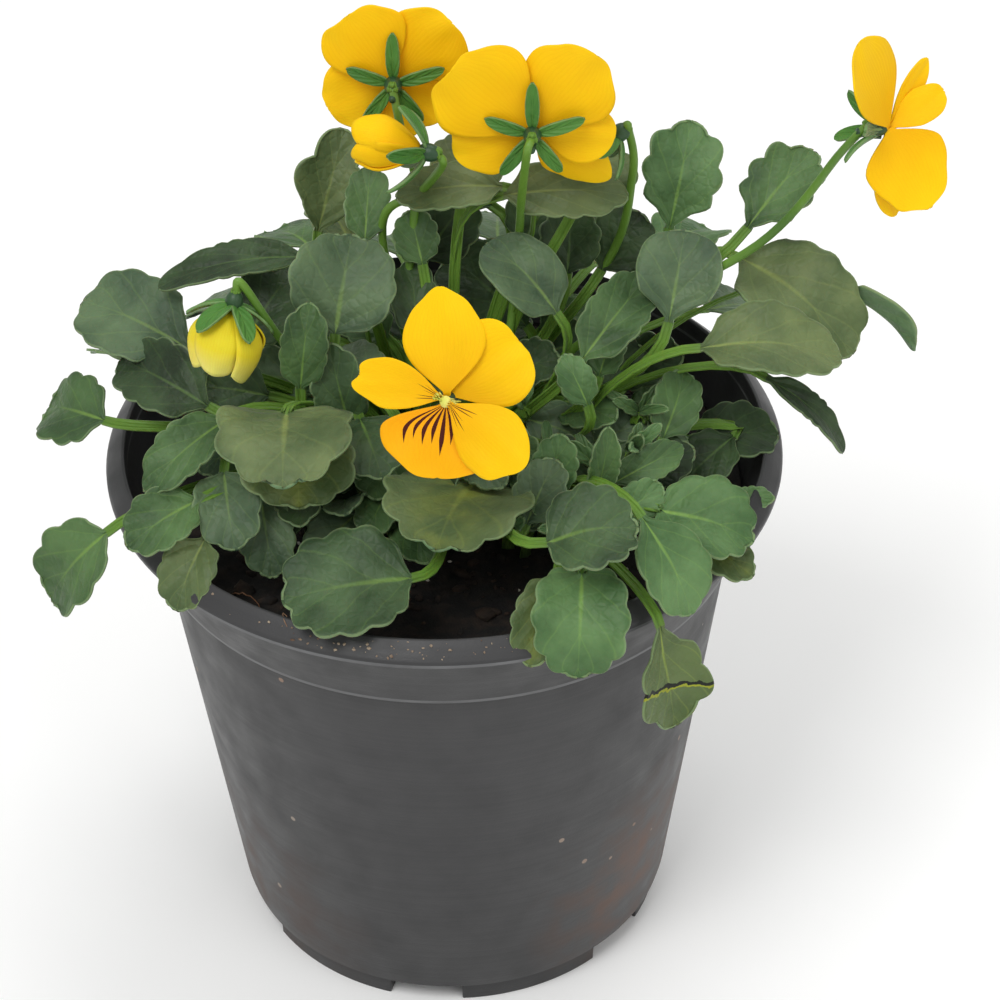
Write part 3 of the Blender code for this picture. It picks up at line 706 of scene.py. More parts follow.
# Left leaves.
leaf("leaf_left_cordate", (-7, -9), (-26, -22, 124), (-26, -40, 122), 12, (0, -0.3, 0.95),
     skin=BRONZE, heart=0.17, wedge=0, teeth=5, cup=0.05, ruffle=0.1)
leaf("leaf_left_inner", (-13, -12), (-37, -25, 114), (-35, -36, 106), 6, (-0.1, -0.6, 0.8),
     skin=BLUE_GREEN, wedge=0.1, teeth=4)
leaf("leaf_left_low", (-18, -10), (-57, -31, 106), (-68, -31, 92), 7.5, (-0.5, -0.6, 0.6),
     skin=MID_GREEN, wedge=0.12, broad=0.1, teeth=4, notch=0.16, ruffle=0.08)
leaf("leaf_left_long_stalk", (-20, -4), (-59, -7, 112), (-70, 4, 107), 7, (-0.3, -0.5, 0.8),
     skin=MID_GREEN, wedge=0.15, teeth=5, notch=0.14)
leaf("leaf_left_broad", (-15, 4), (-43, 0, 121), (-63, 11, 125), 8.4, (-0.2, -0.3, 0.9),
     skin=BLUE_GREEN, wedge=0.35, broad=0.15, notch=0.07)
leaf("leaf_left_round", (-9, 5), (-18, -8, 130), (-15, 4, 142), 9.2, (0, -0.8, 0.6),
     skin=BLUE_GREEN, wedge=0.1, notch=0.07)

# Middle and right leaves.
leaf("leaf_middle_dark", (5, 9), (15, 11, 118), (1, 19, 128), 8.5, (0, -0.6, 0.8),
     skin=DEEP_AND_SHADED_GREEN, wedge=0.2, notch=0.08)
leaf("leaf_middle_light", (10, -4), (20, -4, 131), (8, 4, 140), 6.2, (0, -0.4, 0.9),
     skin=BLUE_GREEN, wedge=0.15, teeth=4, notch=0.03, arch=0.2)
leaf("leaf_right_round", (14, -2), (39, -6, 130), (42, 4, 142), 7.2, (0, -0.8, 0.6),
     skin=BLUE_GREEN, wedge=0.35, broad=0.2, teeth=4, notch=0.03)
leaf("leaf_right_long", (20, -8), (44, -12, 129), (68, -13, 127), 7.4, (0, -0.25, 0.95),
     skin=BRONZE, wedge=0.15, notch=0.09, arch=0.15)
leaf("leaf_right_bronze", (19, 6), (52, 11, 132), (71, -3, 121), 9, (0.1, -0.5, 0.86),
     skin=BRONZE, wedge=0.2, notch=0.09, arch=0.18)
leaf("leaf_right_narrow", (23, 1), (71, 6, 128), (82, -2, 121), 5, (0.6, 0.5, 0.6),
     skin=BRONZE, wedge=0.15, teeth=4, notch=0.05, cup=0.5)

# Upright leaves at the back, and the low ones behind them.
leaf("leaf_back_lobed", (-8, 9), (-22, 24, 130), (-17, 32, 146), 6.5, (0, -0.95, 0.3),
     skin=BRONZE, wedge=0.3, broad=0.1, teeth=2, notch=0.4, ruffle=0.12)
leaf("leaf_back_upright", (12, 12), (40, 14, 136), (44, 25, 151), 7, (0, -0.9, 0.4),
     skin=FRESH_GREEN, wedge=0.3, broad=0.1, teeth=4, notch=0.18)
leaf("leaf_back_right", (17, 9), (53, 8, 140), (65, 20, 148), 6.5, (-0.3, -0.75, 0.6),
     skin=MID_GREEN, wedge=0.3, teeth=4, notch=0.22, ruffle=0.14)
leaf("leaf_rear_left", (-15, 12), (-36, 34, 108), (-48, 42, 100), 8, (-0.3, 0.3, 0.9),
     skin=BLUE_GREEN)
leaf("leaf_rear_middle", (0, 17), (-8, 44, 112), (-12, 60, 105), 9, (0, 0.4, 0.9), skin=MID_GREEN)
leaf("leaf_rear_right", (12, 15), (28, 40, 112), (34, 54, 104), 9, (0.2, 0.4, 0.9),
     skin=OLIVE)
leaf("leaf_rear_far_left", (-20, 5), (-50, 18, 108), (-62, 30, 102), 8, (-0.3, 0.2, 0.9),
     skin=MID_GREEN)
leaf("leaf_rear_far_right", (18, 12), (48, 30, 108), (60, 38, 102), 8, (0.3, 0.3, 0.9),
     skin=BLUE_GREEN)

# Smaller leaves between the large ones: name, foot, base, tip, half width, face, skin.
for name, foot, base, tip, half_width, face, skin in [
    ("under_cordate", (-6, -11), (-24, -23, 121), (-24, -34, 113), 10, (0, -0.5, 0.85), OLIVE),
    ("left_a", (-12, -15), (-31, -26, 110), (-29, -35, 99), 5, (0, -0.6, 0.8), BLUE_GREEN),
    ("left_b", (-16, -12), (-41, -30, 112), (-53, -36, 107), 5.5, (-0.2, -0.6, 0.8), MID_GREEN),
    ("left_c", (-15, -15), (-40, -34, 107), (-45, -42, 98), 5, (-0.2, -0.6, 0.8), BRONZE),
    ("left_d", (-14, -6), (-36, -19, 121), (-50, -29, 113), 4.8, (-0.2, -0.5, 0.8), MID_GREEN),
    ("left_e", (-16, 0), (-40, -13, 119), (-56, 0, 120), 6.5, (-0.2, -0.5, 0.8), DEEP_AND_SHADED_GREEN),
    ("left_f", (-12, 2), (-35, 2, 121), (-25, 14, 130), 6.5, (0, -0.6, 0.8), DEEP_AND_SHADED_GREEN),
    ("left_g", (-12, -2), (-30, -6, 116), (-44, -6, 118), 6, (0, -0.5, 0.9), SHADE_GREEN),
    ("left_h", (-9, -6), (-14, -16, 118), (-10, -30, 116), 6, (0, -0.4, 0.9), SHADE_GREEN),
    ("left_i", (-9, -5), (-16, -14, 115), (-19, -11, 130), 4.8, (0, -0.8, 0.6), SHADE_GREEN),
    ("left_j", (-10, -3), (-24, -14, 123), (-22, -9, 137), 4.2, (0, -0.8, 0.6), MID_GREEN),
    ("back_left", (-12, 6), (-23, 10, 134), (-49, 6, 131), 4, (0, -0.3, 0.95), DEEP_AND_SHADED_GREEN),
    ("middle_a", (-5, -6), (-10, -13, 120), (-18, 2, 120), 4.8, (0, -0.5, 0.8), BLUE_GREEN),
    ("back_a", (-8, 10), (-13, 8, 138), (-12, 20, 146), 4, (0, -0.9, 0.4), MID_GREEN),
    ("back_b", (5, 12), (9, 18, 139), (-4, 27, 138), 4, (0, -0.6, 0.8), DEEP_AND_SHADED_GREEN),
    ("back_c", (9, 12), (19, 19, 139), (34, 25, 133), 4, (0, -0.6, 0.8), DEEP_AND_SHADED_GREEN),
    ("right_a", (18, -2), (56, -7, 119), (70, -10, 105), 3, (0.5, -0.3, 0.7), DEEP_AND_SHADED_GREEN),
    ("right_b", (9, -3), (24, -11, 126), (36, 3, 134), 5.2, (0, -0.7, 0.7), MID_GREEN),
    ("right_c", (16, -8), (51, -5, 105), (40, -12, 98), 5, (0.2, -0.4, 0.9), DEEP_AND_SHADED_GREEN),
    ("right_d", (18, -3), (44, -3, 103), (59, -2, 103), 6, (0.2, -0.4, 0.9), DEEP_AND_SHADED_GREEN),
    ("front_a", (11, -19), (19, -48, 109), (14, -59, 99), 5, (-0.1, -0.8, 0.6), OLIVE),
    ("front_b", (17, -14), (41, -33, 105), (52, -39, 101), 4.5, (0.3, -0.5, 0.8), OLIVE),
    ("front_c", (10, -14), (18, -30, 112), (20, -27, 122), 4, (0, -0.8, 0.6), FRESH_GREEN),
    ("front_d", (14, -12), (26, -29, 111), (28, -28, 124), 2.6, (0.2, -0.8, 0.5), MID_GREEN),
    ("front_e", (14, -11), (29, -26, 111), (41, -20, 114), 3.2, (0.1, -0.7, 0.7), MID_GREEN),
    ("front_f", (15, -14), (29, -31, 107), (37, -27, 111), 3.6, (0.1, -0.7, 0.7), FRESH_GREEN),
    ("front_g", (9, -15), (14, -37, 111), (19, -30, 119), 4.5, (-0.2, -0.8, 0.6), BLUE_GREEN),
    ("lip_right", (18, -9), (49, -18, 100), (57, -19, 102), 2.2, (0.2, -0.5, 0.8), FRESH_GREEN),
    ("right_e", (14, -6), (38, -15, 112), (42, -5, 119), 4.5, (0.2, -0.8, 0.6), MID_GREEN),
    ("right_f", (10, -6), (25, -16, 120), (21, -11, 127), 3.2, (0, -0.7, 0.7), FRESH_GREEN),
    ("right_g", (11, -4), (27, -9, 121), (30, -4, 129), 3.2, (0, -0.8, 0.6), MID_GREEN),
    ("behind_a", (7, 2), (22, 8, 131), (23, 15, 140), 5.5, (0, -0.8, 0.5), DEEP_AND_SHADED_GREEN),
    ("behind_b", (2, 10), (4, 10, 146), (6, 20, 152), 6.5, (0, -0.6, 0.8), BRONZE),
    ("behind_c", (8, 8), (24, 8, 146), (30, 16, 152), 7.5, (0, -0.6, 0.8), BRONZE),
    ("behind_d", (-3, 2), (-4, -4, 126), (-5, 7, 135), 4, (0, -0.8, 0.6), DEEP_AND_SHADED_GREEN),
    ("behind_e", (-5, 6), (-3, 4, 136), (-5, 10, 143), 4, (0, -0.8, 0.6), MID_GREEN),
    ("behind_f", (5, 8), (11, 4, 150), (32, 3, 150), 5.5, (0, -0.5, 0.85), BRONZE),
    ("behind_g", (4, 9), (11, 5, 151), (-7, 4, 150), 4.8, (0, -0.5, 0.85), BRONZE),
    ("behind_h", (-3, 8), (-3, 10, 133), (5, 16, 142), 6, (0, -0.7, 0.7), DEEP_AND_SHADED_GREEN),
    ("behind_i", (6, 9), (14, 12, 134), (21, 20, 142), 6, (0, -0.7, 0.7), SHADE_GREEN),
    ("behind_j", (10, 6), (28, 9, 131), (35, 16, 138), 6, (0, -0.7, 0.7), DEEP_AND_SHADED_GREEN),
    ("floor_a", (-4, -12), (-16, -17, 108), (-12, -25, 99), 4.8, (0, -0.5, 0.85), DEEP_AND_SHADED_GREEN),
    ("floor_b", (-8, -14), (-22, -20, 106), (-18, -28, 98), 4.6, (0, -0.5, 0.85), DEEP_AND_SHADED_GREEN),
    ("floor_c", (12, -9), (18, -13, 106), (12, -24, 104), 4, (0, -0.5, 0.85), DEEP_AND_SHADED_GREEN),
    ("rear_a", (-5, 14), (-24, 40, 116), (-32, 52, 112), 7, (-0.2, 0.4, 0.9), MID_GREEN),
    ("rear_b", (6, 15), (10, 38, 118), (10, 54, 114), 7, (0, 0.4, 0.9), BLUE_GREEN),
    ("rear_c", (15, 12), (40, 32, 120), (50, 44, 116), 7, (0.3, 0.4, 0.9), FRESH_GREEN),
    ("rear_d", (-9, 12), (-16, 28, 124), (-22, 40, 126), 6, (-0.1, 0.3, 0.9), OLIVE),
    ("rear_e", (8, 12), (18, 28, 126), (24, 40, 128), 6, (0.1, 0.3, 0.9), MID_GREEN),
]:
    leaf(
        f"inner_leaf_{name}", foot, base, tip, half_width, face, skin=skin, teeth=5, notch=0.11,
        ruffle=0.09,
    )

# The undergrowth: young leaves close over the compost, in the shade of the others; every third one
# has the deep green that carries painted shade.
YOUNG_LEAVES = 64
GOLDEN_TURN = 2.39996  # spreads them evenly round the crown
chance = random.Random(41)
for index in range(YOUNG_LEAVES):
    turn = index * GOLDEN_TURN
    ring_share = math.sqrt((index + 0.5) / YOUNG_LEAVES)
    out = Vector((math.cos(turn), math.sin(turn), 0))
    height = 118 - 13 * ring_share + chance.uniform(-3, 3)
    base = out * (9 + 27 * ring_share) + Vector((0, 0, height))
    if base.y < -20:
        base.y = -20 + (base.y + 20) * 0.3
    swing = Matrix.Rotation(chance.uniform(-0.8, 0.8), 3, "Z")
    tip = base + (swing @ out) * chance.uniform(9, 13) + Vector((0, 0, chance.uniform(-5, 6)))
    leaf(
        f"young_leaf_{index}", (out * 8).xy, base, tip, chance.uniform(3.6, 5.6),
        (out * 0.2 + Vector((0, -0.6, 0.8))), skin=(DEEP_AND_SHADED_GREEN, MID_GREEN, BLUE_GREEN)[index % 3],
        teeth=5, notch=0.11, ruffle=0.1,
    )

# Stipules: narrow cut leaflets in tufts where the leaf stalks leave the stems.
chance = random.Random(23)
for tuft, (x, y, z) in enumerate([
    (8, -30, 106), (12, -34, 108), (20, -36, 109), (26, -22, 112), (32, -20, 113),
    (18, -20, 110), (-12, -20, 108), (34, -10, 114), (14, -10, 116), (-20, -6, 116),
]):
    for blade in range(4):
        turn = chance.uniform(0, math.tau)
        out = Vector((math.cos(turn), math.sin(turn) * 0.7, chance.uniform(0.3, 1.2))).normalized()
        root = Vector((x, y, z))
        leaf(
            f"stipule_{tuft}_{blade}", root - out * 1.5 - Vector((0, 0, 1)), root,
            root + out * chance.uniform(5, 8.5), chance.uniform(0.9, 1.5), (0.1, -0.7, 0.7),
            skin=FRESH_GREEN if blade % 2 else MID_GREEN, teeth=2, notch=0.3,
        )


# ---------------------------------------------------------------- flower stalks
# Each flower nods on a slender bare stalk. Under the petals sit a dark little receptacle and
# five narrow green sepals, each with a pale edge and a short ear that points back.

TUBE_SIDES = 12
STALK_RADIUS = 0.8
CALYX_LENGTH = 3.4
CALYX_DARK = stalk_skin("receptacle_skin", "#223D29", "#34552F", "#1A302E")
SEPAL_GREEN = leaf_skin("sepal_green", "#386B22", "#4F8032", vein="#6A9440")


def smooth_route(points, count):
    """Count + 1 points on a smooth curve through the given ones."""
    points = [Vector(p) for p in points]
    ends = [points[0] * 2 - points[1], *points, points[-1] * 2 - points[-2]]
    route = []
    for index in range(count + 1):
        place = index / count * (len(points) - 1)
        k = min(int(place), len(points) - 2)
        t = place - k
        p0, p1, p2, p3 = ends[k:k + 4]
        route.append(0.5 * (
            p1 * 2 + (p2 - p0) * t + (p0 * 2 - p1 * 5 + p2 * 4 - p3) * t * t
            + (p1 * 3 - p0 - p2 * 3 + p3) * t**3
        ))
    return route


def flower_stalk(name, route, facing, sepal=8.0, spread=0.02, spur=True, sepal_half=1.1):
    """The stalk with its receptacle, spur and five sepals, in three joined-up pieces."""
    facing = Vector(facing).normalized()
    centre = Vector(route[-1])
    neck = centre - facing * CALYX_LENGTH
    bm = bmesh.new()
    thread(bm, smooth_route([*route[:-1], neck], 44), STALK_RADIUS, TUBE_SIDES, 0.85)
    finish_piece(f"{name}_stem", bm, STALK_SKIN, "stalk_green", name)

    bm = bmesh.new()
    cup = bmesh.ops.create_uvsphere(bm, u_segments=20, v_segments=12, radius=1)["verts"]
    bmesh.ops.scale(bm, vec=(1.55, 1.55, 2.1), verts=cup)
    lean = Vector((0, 0, 1)).rotation_difference(facing).to_matrix()
    bmesh.ops.rotate(bm, matrix=lean, cent=(0, 0, 0), verts=cup)
    bmesh.ops.translate(bm, vec=centre - facing * 1.9, verts=cup)
    down = Vector((0, 0, -1)) - facing * Vector((0, 0, -1)).dot(facing)
    if spur:
        down = down.normalized() if down.length > 0.1 else Vector((1, 0, 0))
        heel = centre - facing * 0.6 + down * 1.2
        end = heel - facing * 4.2 + down * 0.3
        thread(bm, [heel, heel - facing * 2.2 + down * 0.5, end], 0.8, 10, 0.7)
    finish_piece(f"{name}_receptacle", bm, CALYX_DARK, "stalk_green")

    up = Vector((0, 0, 1)) - facing * facing.z
    up = up.normalized() if up.length > 0.1 else Vector((0, 1, 0))
    right = up.cross(facing)
    for index in range(5):
        turn = math.tau * index / 5
        out = up * math.cos(turn) + right * math.sin(turn)
        root = centre - facing * 1.7 + out * 0.9
        leaf(
            f"{name}_sepal_{index}", root - out * 0.5 - facing * 2.0, root,
            root + out * sepal * (1 - 0.1 * (index % 2)) + facing * sepal * spread,
            sepal_half, -facing, arch=0.08, cup=0.2, skin=SEPAL_GREEN, teeth=1, notch=0,
            wedge=0, ruffle=0,
        )


# ---------------------------------------------------------------- petals
# Five velvety petals to a bloom: two broad upper ones behind, two at the sides, and a wide
# lip in front. They are deep yellow, faintly veined from the claw outwards, with fine dark
# whiskers on the lip and the side petals and a pale green throat.


def petal_velvet(name, yellow, edge, claw, whiskers=0, shortest=0.3, longest=0.62):
    """Petal skin; the UV map runs from the claw along the petal and, 0 to 1, across it."""
    made, shader = new_material(
        name, 0.62, IOR=1.4, Subsurface_Weight=0.2, Subsurface_Scale=0.0015,
        Specular_IOR_Level=0.2, Sheen_Weight=0.08, Sheen_Roughness=0.6,
    )
    shader.inputs["Subsurface Radius"].default_value = (1.0, 0.6, 0.05)
    shader.inputs["Sheen Tint"].default_value = linear("#FFE27A")
    coordinates = add_node(made, "TexCoord")
    place = coordinates.outputs["Object"]
    along_across = add_node(made, "SeparateXYZ", {0: coordinates.outputs["UV"]})
    along, across = along_across.outputs[0], along_across.outputs[1]
    outward = add_node(made, "MapRange", {0: along, 1: 0.55, 2: 1.0, 3: 0, 4: 1})
    skin = add_node(made, "Mix", {
        0: outward, 6: linear(yellow), 7: linear(edge),
    }, data_type="RGBA")
    inward = add_node(made, "MapRange", {0: along, 1: 0.55, 2: 0.08, 3: 0, 4: 0.9})
    cloud = add_node(made, "TexNoise", {"Vector": place, "Scale": 130, "Detail": 3})
    shade = add_node(made, "MapRange", {0: cloud, 1: 0.4, 2: 0.8, 3: 0, 4: 0.3})
    # Fine veins, 40 to a petal, that wander a little on their way out.
    wander = add_node(made, "TexNoise", {"Vector": place, "Scale": 220, "Detail": 2})
    line = add_node(made, "Math", {0: wander, 1: 0.05, 2: across}, operation="MULTIPLY_ADD")
    veins = add_node(made, "Math", {0: line, 1: 40}, operation="MULTIPLY")
    wave = add_node(made, "Math", {0: veins, 1: 1.0}, operation="PINGPONG")
    vein = add_node(made, "MapRange", {0: wave, 1: 0.35, 2: 0.0, 3: 0, 4: 0.12})
    layers = [(inward, claw), (shade, "#E3A300"), (vein, "#D69200")]
    if whiskers:
        # Dark maroon whiskers, each of its own length, from the throat to mid petal.
        rows = add_node(made, "Math", {0: across, 1: whiskers}, operation="MULTIPLY")
        row = add_node(made, "Math", {0: rows}, operation="FLOOR")
        random_length = add_node(made, "TexWhiteNoise", {"W": row}, noise_dimensions="1D")
        reach = add_node(made, "MapRange", {0: random_length, 1: 0, 2: 1, 3: shortest, 4: longest})
        left_over = add_node(made, "Math", {0: reach, 1: along}, operation="SUBTRACT")
        width = add_node(made, "MapRange", {0: left_over, 1: 0, 2: 0.2, 3: 0, 4: 0.25})
        inside = add_node(made, "Math", {0: rows}, operation="FRACT")
        off_line = add_node(made, "Math", {0: inside, 1: 0.5}, operation="SUBTRACT")
        distance = add_node(made, "Math", {0: off_line}, operation="ABSOLUTE")
        drawn_line = add_node(made, "Math", {
            0: distance, 1: width,
        }, operation="LESS_THAN")
        off_middle = add_node(made, "Math", {0: across, 1: 0.5}, operation="SUBTRACT")
        off_side = add_node(made, "Math", {0: off_middle}, operation="ABSOLUTE")
        central = add_node(made, "Math", {0: off_side, 1: 0.36}, operation="LESS_THAN")
        whisker = add_node(made, "Math", {
            0: drawn_line, 1: central,
        }, operation="MULTIPLY")
        layers.append((whisker, "#43100C"))
    for share, colour in layers:
        skin = add_node(made, "Mix", {0: share, 6: skin, 7: linear(colour)}, data_type="RGBA")
    return surface(made, shader, skin, wave, 0.08, 0.0002)


PETAL_PLAIN = petal_velvet("petal_yellow_velvet", "#F2BC00", "#F8C604", "#EBAE00")
PETAL_SIDE = petal_velvet("side_petal_velvet", "#F2BA00", "#F8C304", "#EDAA00", 9, 0.12, 0.34)
PETAL_LIP = petal_velvet("lip_petal_velvet", "#F2A600", "#F4AE04", "#EE9A00", 13, 0.3, 0.74)
PETAL_BACK = petal_velvet("petal_back_velvet", "#EFBA00", "#F5C40C", "#E2A800")
PETAL_LEMON = petal_velvet("closing_petal_lemon", "#E2CF30", "#EEE57C", "#C9BC1C")
SKINS = {"upper_left": PETAL_PLAIN, "upper_right": PETAL_PLAIN, "left": PETAL_SIDE,
         "right": PETAL_SIDE, "lip": PETAL_LIP}
PETAL_THICKNESS = 0.3
PETAL_RUFFLE = 0.12
PETAL_ALONG = 34
PETAL_ACROSS = 26
CLAW_RADIUS = 1.3


def petal(
    name, base, tip, half_width, face, skin, node, bend, cup, notch=0.0, point=0.0,
    shoulder=0.62, seed=0,
):
    """One petal from a grid: a narrow claw at base that opens to a rounded, waved margin."""
    base, tip, face = Vector(base), Vector(tip), Vector(face).normalized()
    along = (tip - base).normalized()
    side = along.cross(face).normalized()
    up = side.cross(along).normalized()
    length = (tip - base).length
    offset = Vector((seed * 3.1, seed * 1.7, 0))
    bm = bmesh.new()
    bmesh.ops.create_grid(bm, x_segments=PETAL_ALONG, y_segments=PETAL_ACROSS, size=0.5)
    uv_map = bm.loops.layers.uv.new("petal")
    for vert in bm.verts:
        # Rows close up towards the margin, so that it comes out round.
        vert.co.x = 0.5 - (0.5 - vert.co.x) ** 1.8
    for corner in (loop for face_ in bm.faces for loop in face_.loops):
        corner[uv_map].uv = (corner.vert.co.x + 0.5, corner.vert.co.y + 0.5)
    for vert in bm.verts:
        u = vert.co.x + 0.5
        v = vert.co.y * 2
        # A fan: the side edges leave the claw at an angle and meet in a round margin.
        open_wide = math.sin(math.pi / 2 * min(1, u / shoulder)) ** 1.15
        round_off = math.cos(math.pi / 2 * max(0, (u - shoulder) / (1 - shoulder))) ** 0.5
        taper = 1 - point * max(0, u - 0.35)
        half = max(half_width * open_wide * round_off * taper, 0.5 * (1 - u), 0.03)
        y = v * half
        x = length * (u - 0.1 * v * v * u * (1 - u))
        # An uneven margin: each way out from mid petal has a length of its own.
        bearing = Vector((x - length / 2, y, 0))
        if bearing.length > 0.01:
            uneven = noise.noise(offset + bearing.normalized() * 1.7)
            x += bearing.x * 0.13 * uneven * u * u
            y += bearing.y * 0.13 * uneven * u * u
        x -= notch * length * math.exp(-(3 * y / half_width) ** 2) * u**3
        wander = noise.noise(offset + Vector((x / length * 1.8, y / half_width * 1.8, 0)))
        lift = bend * u * u + cup * half * v * v
        lift += PETAL_RUFFLE * half_width * wander * (0.2 + u * u)
        vert.co = base + along * x + side * y + up * lift
    face_sheet(bm, face)
    piece = finish_piece(name, bm, skin, "petal_yellow", node, under=PETAL_BACK)
    thicken(piece, PETAL_THICKNESS)


THROAT_GREEN = crumb_finish("throat_green", "#B9C23C", "#E9E27A")


def throat(name, centre, facing, top):
    """The eye of the bloom: a pale green stigma knob between two small beards of hairs."""
    right = top.cross(facing)
    bm = bmesh.new()
    knob = bmesh.ops.create_uvsphere(bm, u_segments=16, v_segments=10, radius=1.0)["verts"]
    bmesh.ops.translate(bm, vec=centre + facing * 1.3 - top * 0.3, verts=knob)
    chance = random.Random(31)
    for hand in (-1, 1):
        for _ in range(16):
            root = centre + right * hand * chance.uniform(0.8, 2.2) + facing * 1.1
            root += top * chance.uniform(-0.6, 0.7)
            end = root + facing * chance.uniform(0.8, 1.4) - right * hand * 0.5
            thread(bm, [root, root.lerp(end, 0.5), end], 0.14, 4, 0.6)
    finish_piece(name, bm, THROAT_GREEN, "petal_yellow")


def bloom(name, route, facing, top, petals):
    """An open flower: stalk, petals placed by angle clockwise from top, and the throat."""
    flower_stalk(f"{name}_stalk", route, facing)
    centre = Vector(route[-1])
    facing = Vector(facing).normalized()
    top = Vector(top)
    top = (top - facing * top.dot(facing)).normalized()
    right = top.cross(facing)
    for seed, row in enumerate(petals):
        kind, angle, length, half_width, level, lean, bend, cup, notch, point = row
        turn = math.radians(angle)
        out = top * math.cos(turn) + right * math.sin(turn)
        base = centre + out * CLAW_RADIUS * 0.4 + facing * level
        tip = base + out * (length + CLAW_RADIUS) + facing * lean
        petal(
            f"{name}_{kind}", base, tip, half_width, facing, SKINS[kind],
            f"{name}_petal_{kind}", bend, cup, notch=notch, point=point,
            shoulder=0.45 if kind == "lip" else 0.62, seed=seed + len(name),
        )
    throat(f"{name}_throat", centre, facing, top)


# Rows: name, angle, length, half width, level of the claw, lean and bend forwards, cup, notch
# in the margin, taper to a point.
bloom(
    "bloom_front", [(1, -4, 98.3), (2, -18, 124), (2, -30, 140), (1.5, -41, 140)],
    (-0.1, -0.85, 0.5), (0.35, 0, 1),
    [
        ("upper_left", -27, 16.0, 7.4, 0.1, 0.5, -0.8, 0.05, 0, 0.4),
        ("upper_right", 27, 13.6, 7.8, -0.7, 0.5, -0.4, 0.05, 0.03, 0),
        ("left", -98, 14.0, 4.0, 0.7, 0.5, 1.0, 0.1, 0.08, 0),
        ("right", 107, 14.6, 5.8, 2.2, 1.0, 0.6, -0.12, 0, 0),
        ("lip", 163, 11.0, 10.0, 0.9, 0.6, 0.5, 0.08, 0, 0),
    ],
)
bloom(
    "bloom_back_left",
    [(-4, 1, 98.3), (-6, 3, 125), (-4, 10, 148), (-6, 5, 163), (-7, 10, 169)],
    (0.05, 0.98, -0.15), (0, 0, 1),
    [
        ("upper_left", -43, 13.0, 7.4, 0.2, 0.3, -0.8, 0.06, 0, 0),
        ("upper_right", 33, 12.8, 7.6, -0.6, 0.3, -0.6, 0.06, 0.04, 0),
        ("left", -117, 9.8, 5.6, 0.8, 0.3, 1.0, 0, 0, 0),
        ("right", 115, 11.3, 6.4, 0.8, 0.3, 1.0, 0, 0, 0),
        ("lip", 180, 10.3, 6.6, 1.4, 1.0, 1.0, 0.1, 0.03, 0),
    ],
)
bloom(
    "bloom_back_middle",
    [(3, -1, 98.3), (11, 3, 118), (13.5, 7, 138), (14, -3, 153), (15, -10, 167), (16, -5, 168)],
    (0.05, 0.98, -0.15), (0, 0, 1),
    [
        ("upper_left", -37, 15.4, 8.6, 0.2, 0.3, -0.6, 0.06, 0, 0.25),
        ("upper_right", 50, 16.6, 9.2, -0.6, 0.3, -0.8, 0.08, 0.03, 0),
        ("left", -95, 11.8, 5.5, 0.8, 0.3, 1.0, 0, 0, 0),
        ("right", 105, 12.2, 6.4, 0.8, 0.3, 1.0, 0, 0, 0),
        ("lip", -130, 14.8, 5.0, 1.6, 3.0, 1.0, 0.2, 0, 0.2),
    ],
)

# The right bloom is seen from its side: upper petals swept back, side petals forwards.
RIGHT_BLOOM = Vector((74, -6, 168))
flower_stalk(
    "bloom_right_stalk",
    [(4, 1.5, 98.3), (26, 2, 122), (54, -2, 143), (67, -6, 164), RIGHT_BLOOM], (0.95, 0.1, -0.3),
    sepal=6.2, spread=-0.75,
)
for seed, (kind, claw, reach, half_width, face, bend) in enumerate([
    ("upper_left", (0.4, -0.3, 0.2), (-5.2, -3, 17.6), 6.2, (0.8, -0.6, 0.2), -1.0),
    ("upper_right", (0.6, 0.5, 0.2), (6.5, 7, 8.5), 2.2, (0.6, -0.8, 0.3), 0),
    ("left", (0.6, 0.1, 0.2), (9, 4, 4.4), 3.0, (0.3, -0.5, 0.8), 1),
    ("right", (0.3, -0.5, 0.3), (6.5, -4, -12.5), 7.2, (0.3, -0.9, 0.2), 1.5),
    ("lip", (0.1, 0.2, -0.2), (2.2, -1.5, -15.5), 4.0, (0.5, -0.8, 0.2), 0.5),
]):
    base = RIGHT_BLOOM + Vector(claw)
    petal(
        f"bloom_right_{kind}", base, base + Vector(reach), half_width, face, PETAL_PLAIN,
        f"bloom_right_petal_{kind}", bend, 0.1, shoulder=0.4 if kind == "right" else 0.62,
        seed=seed + 40,
    )
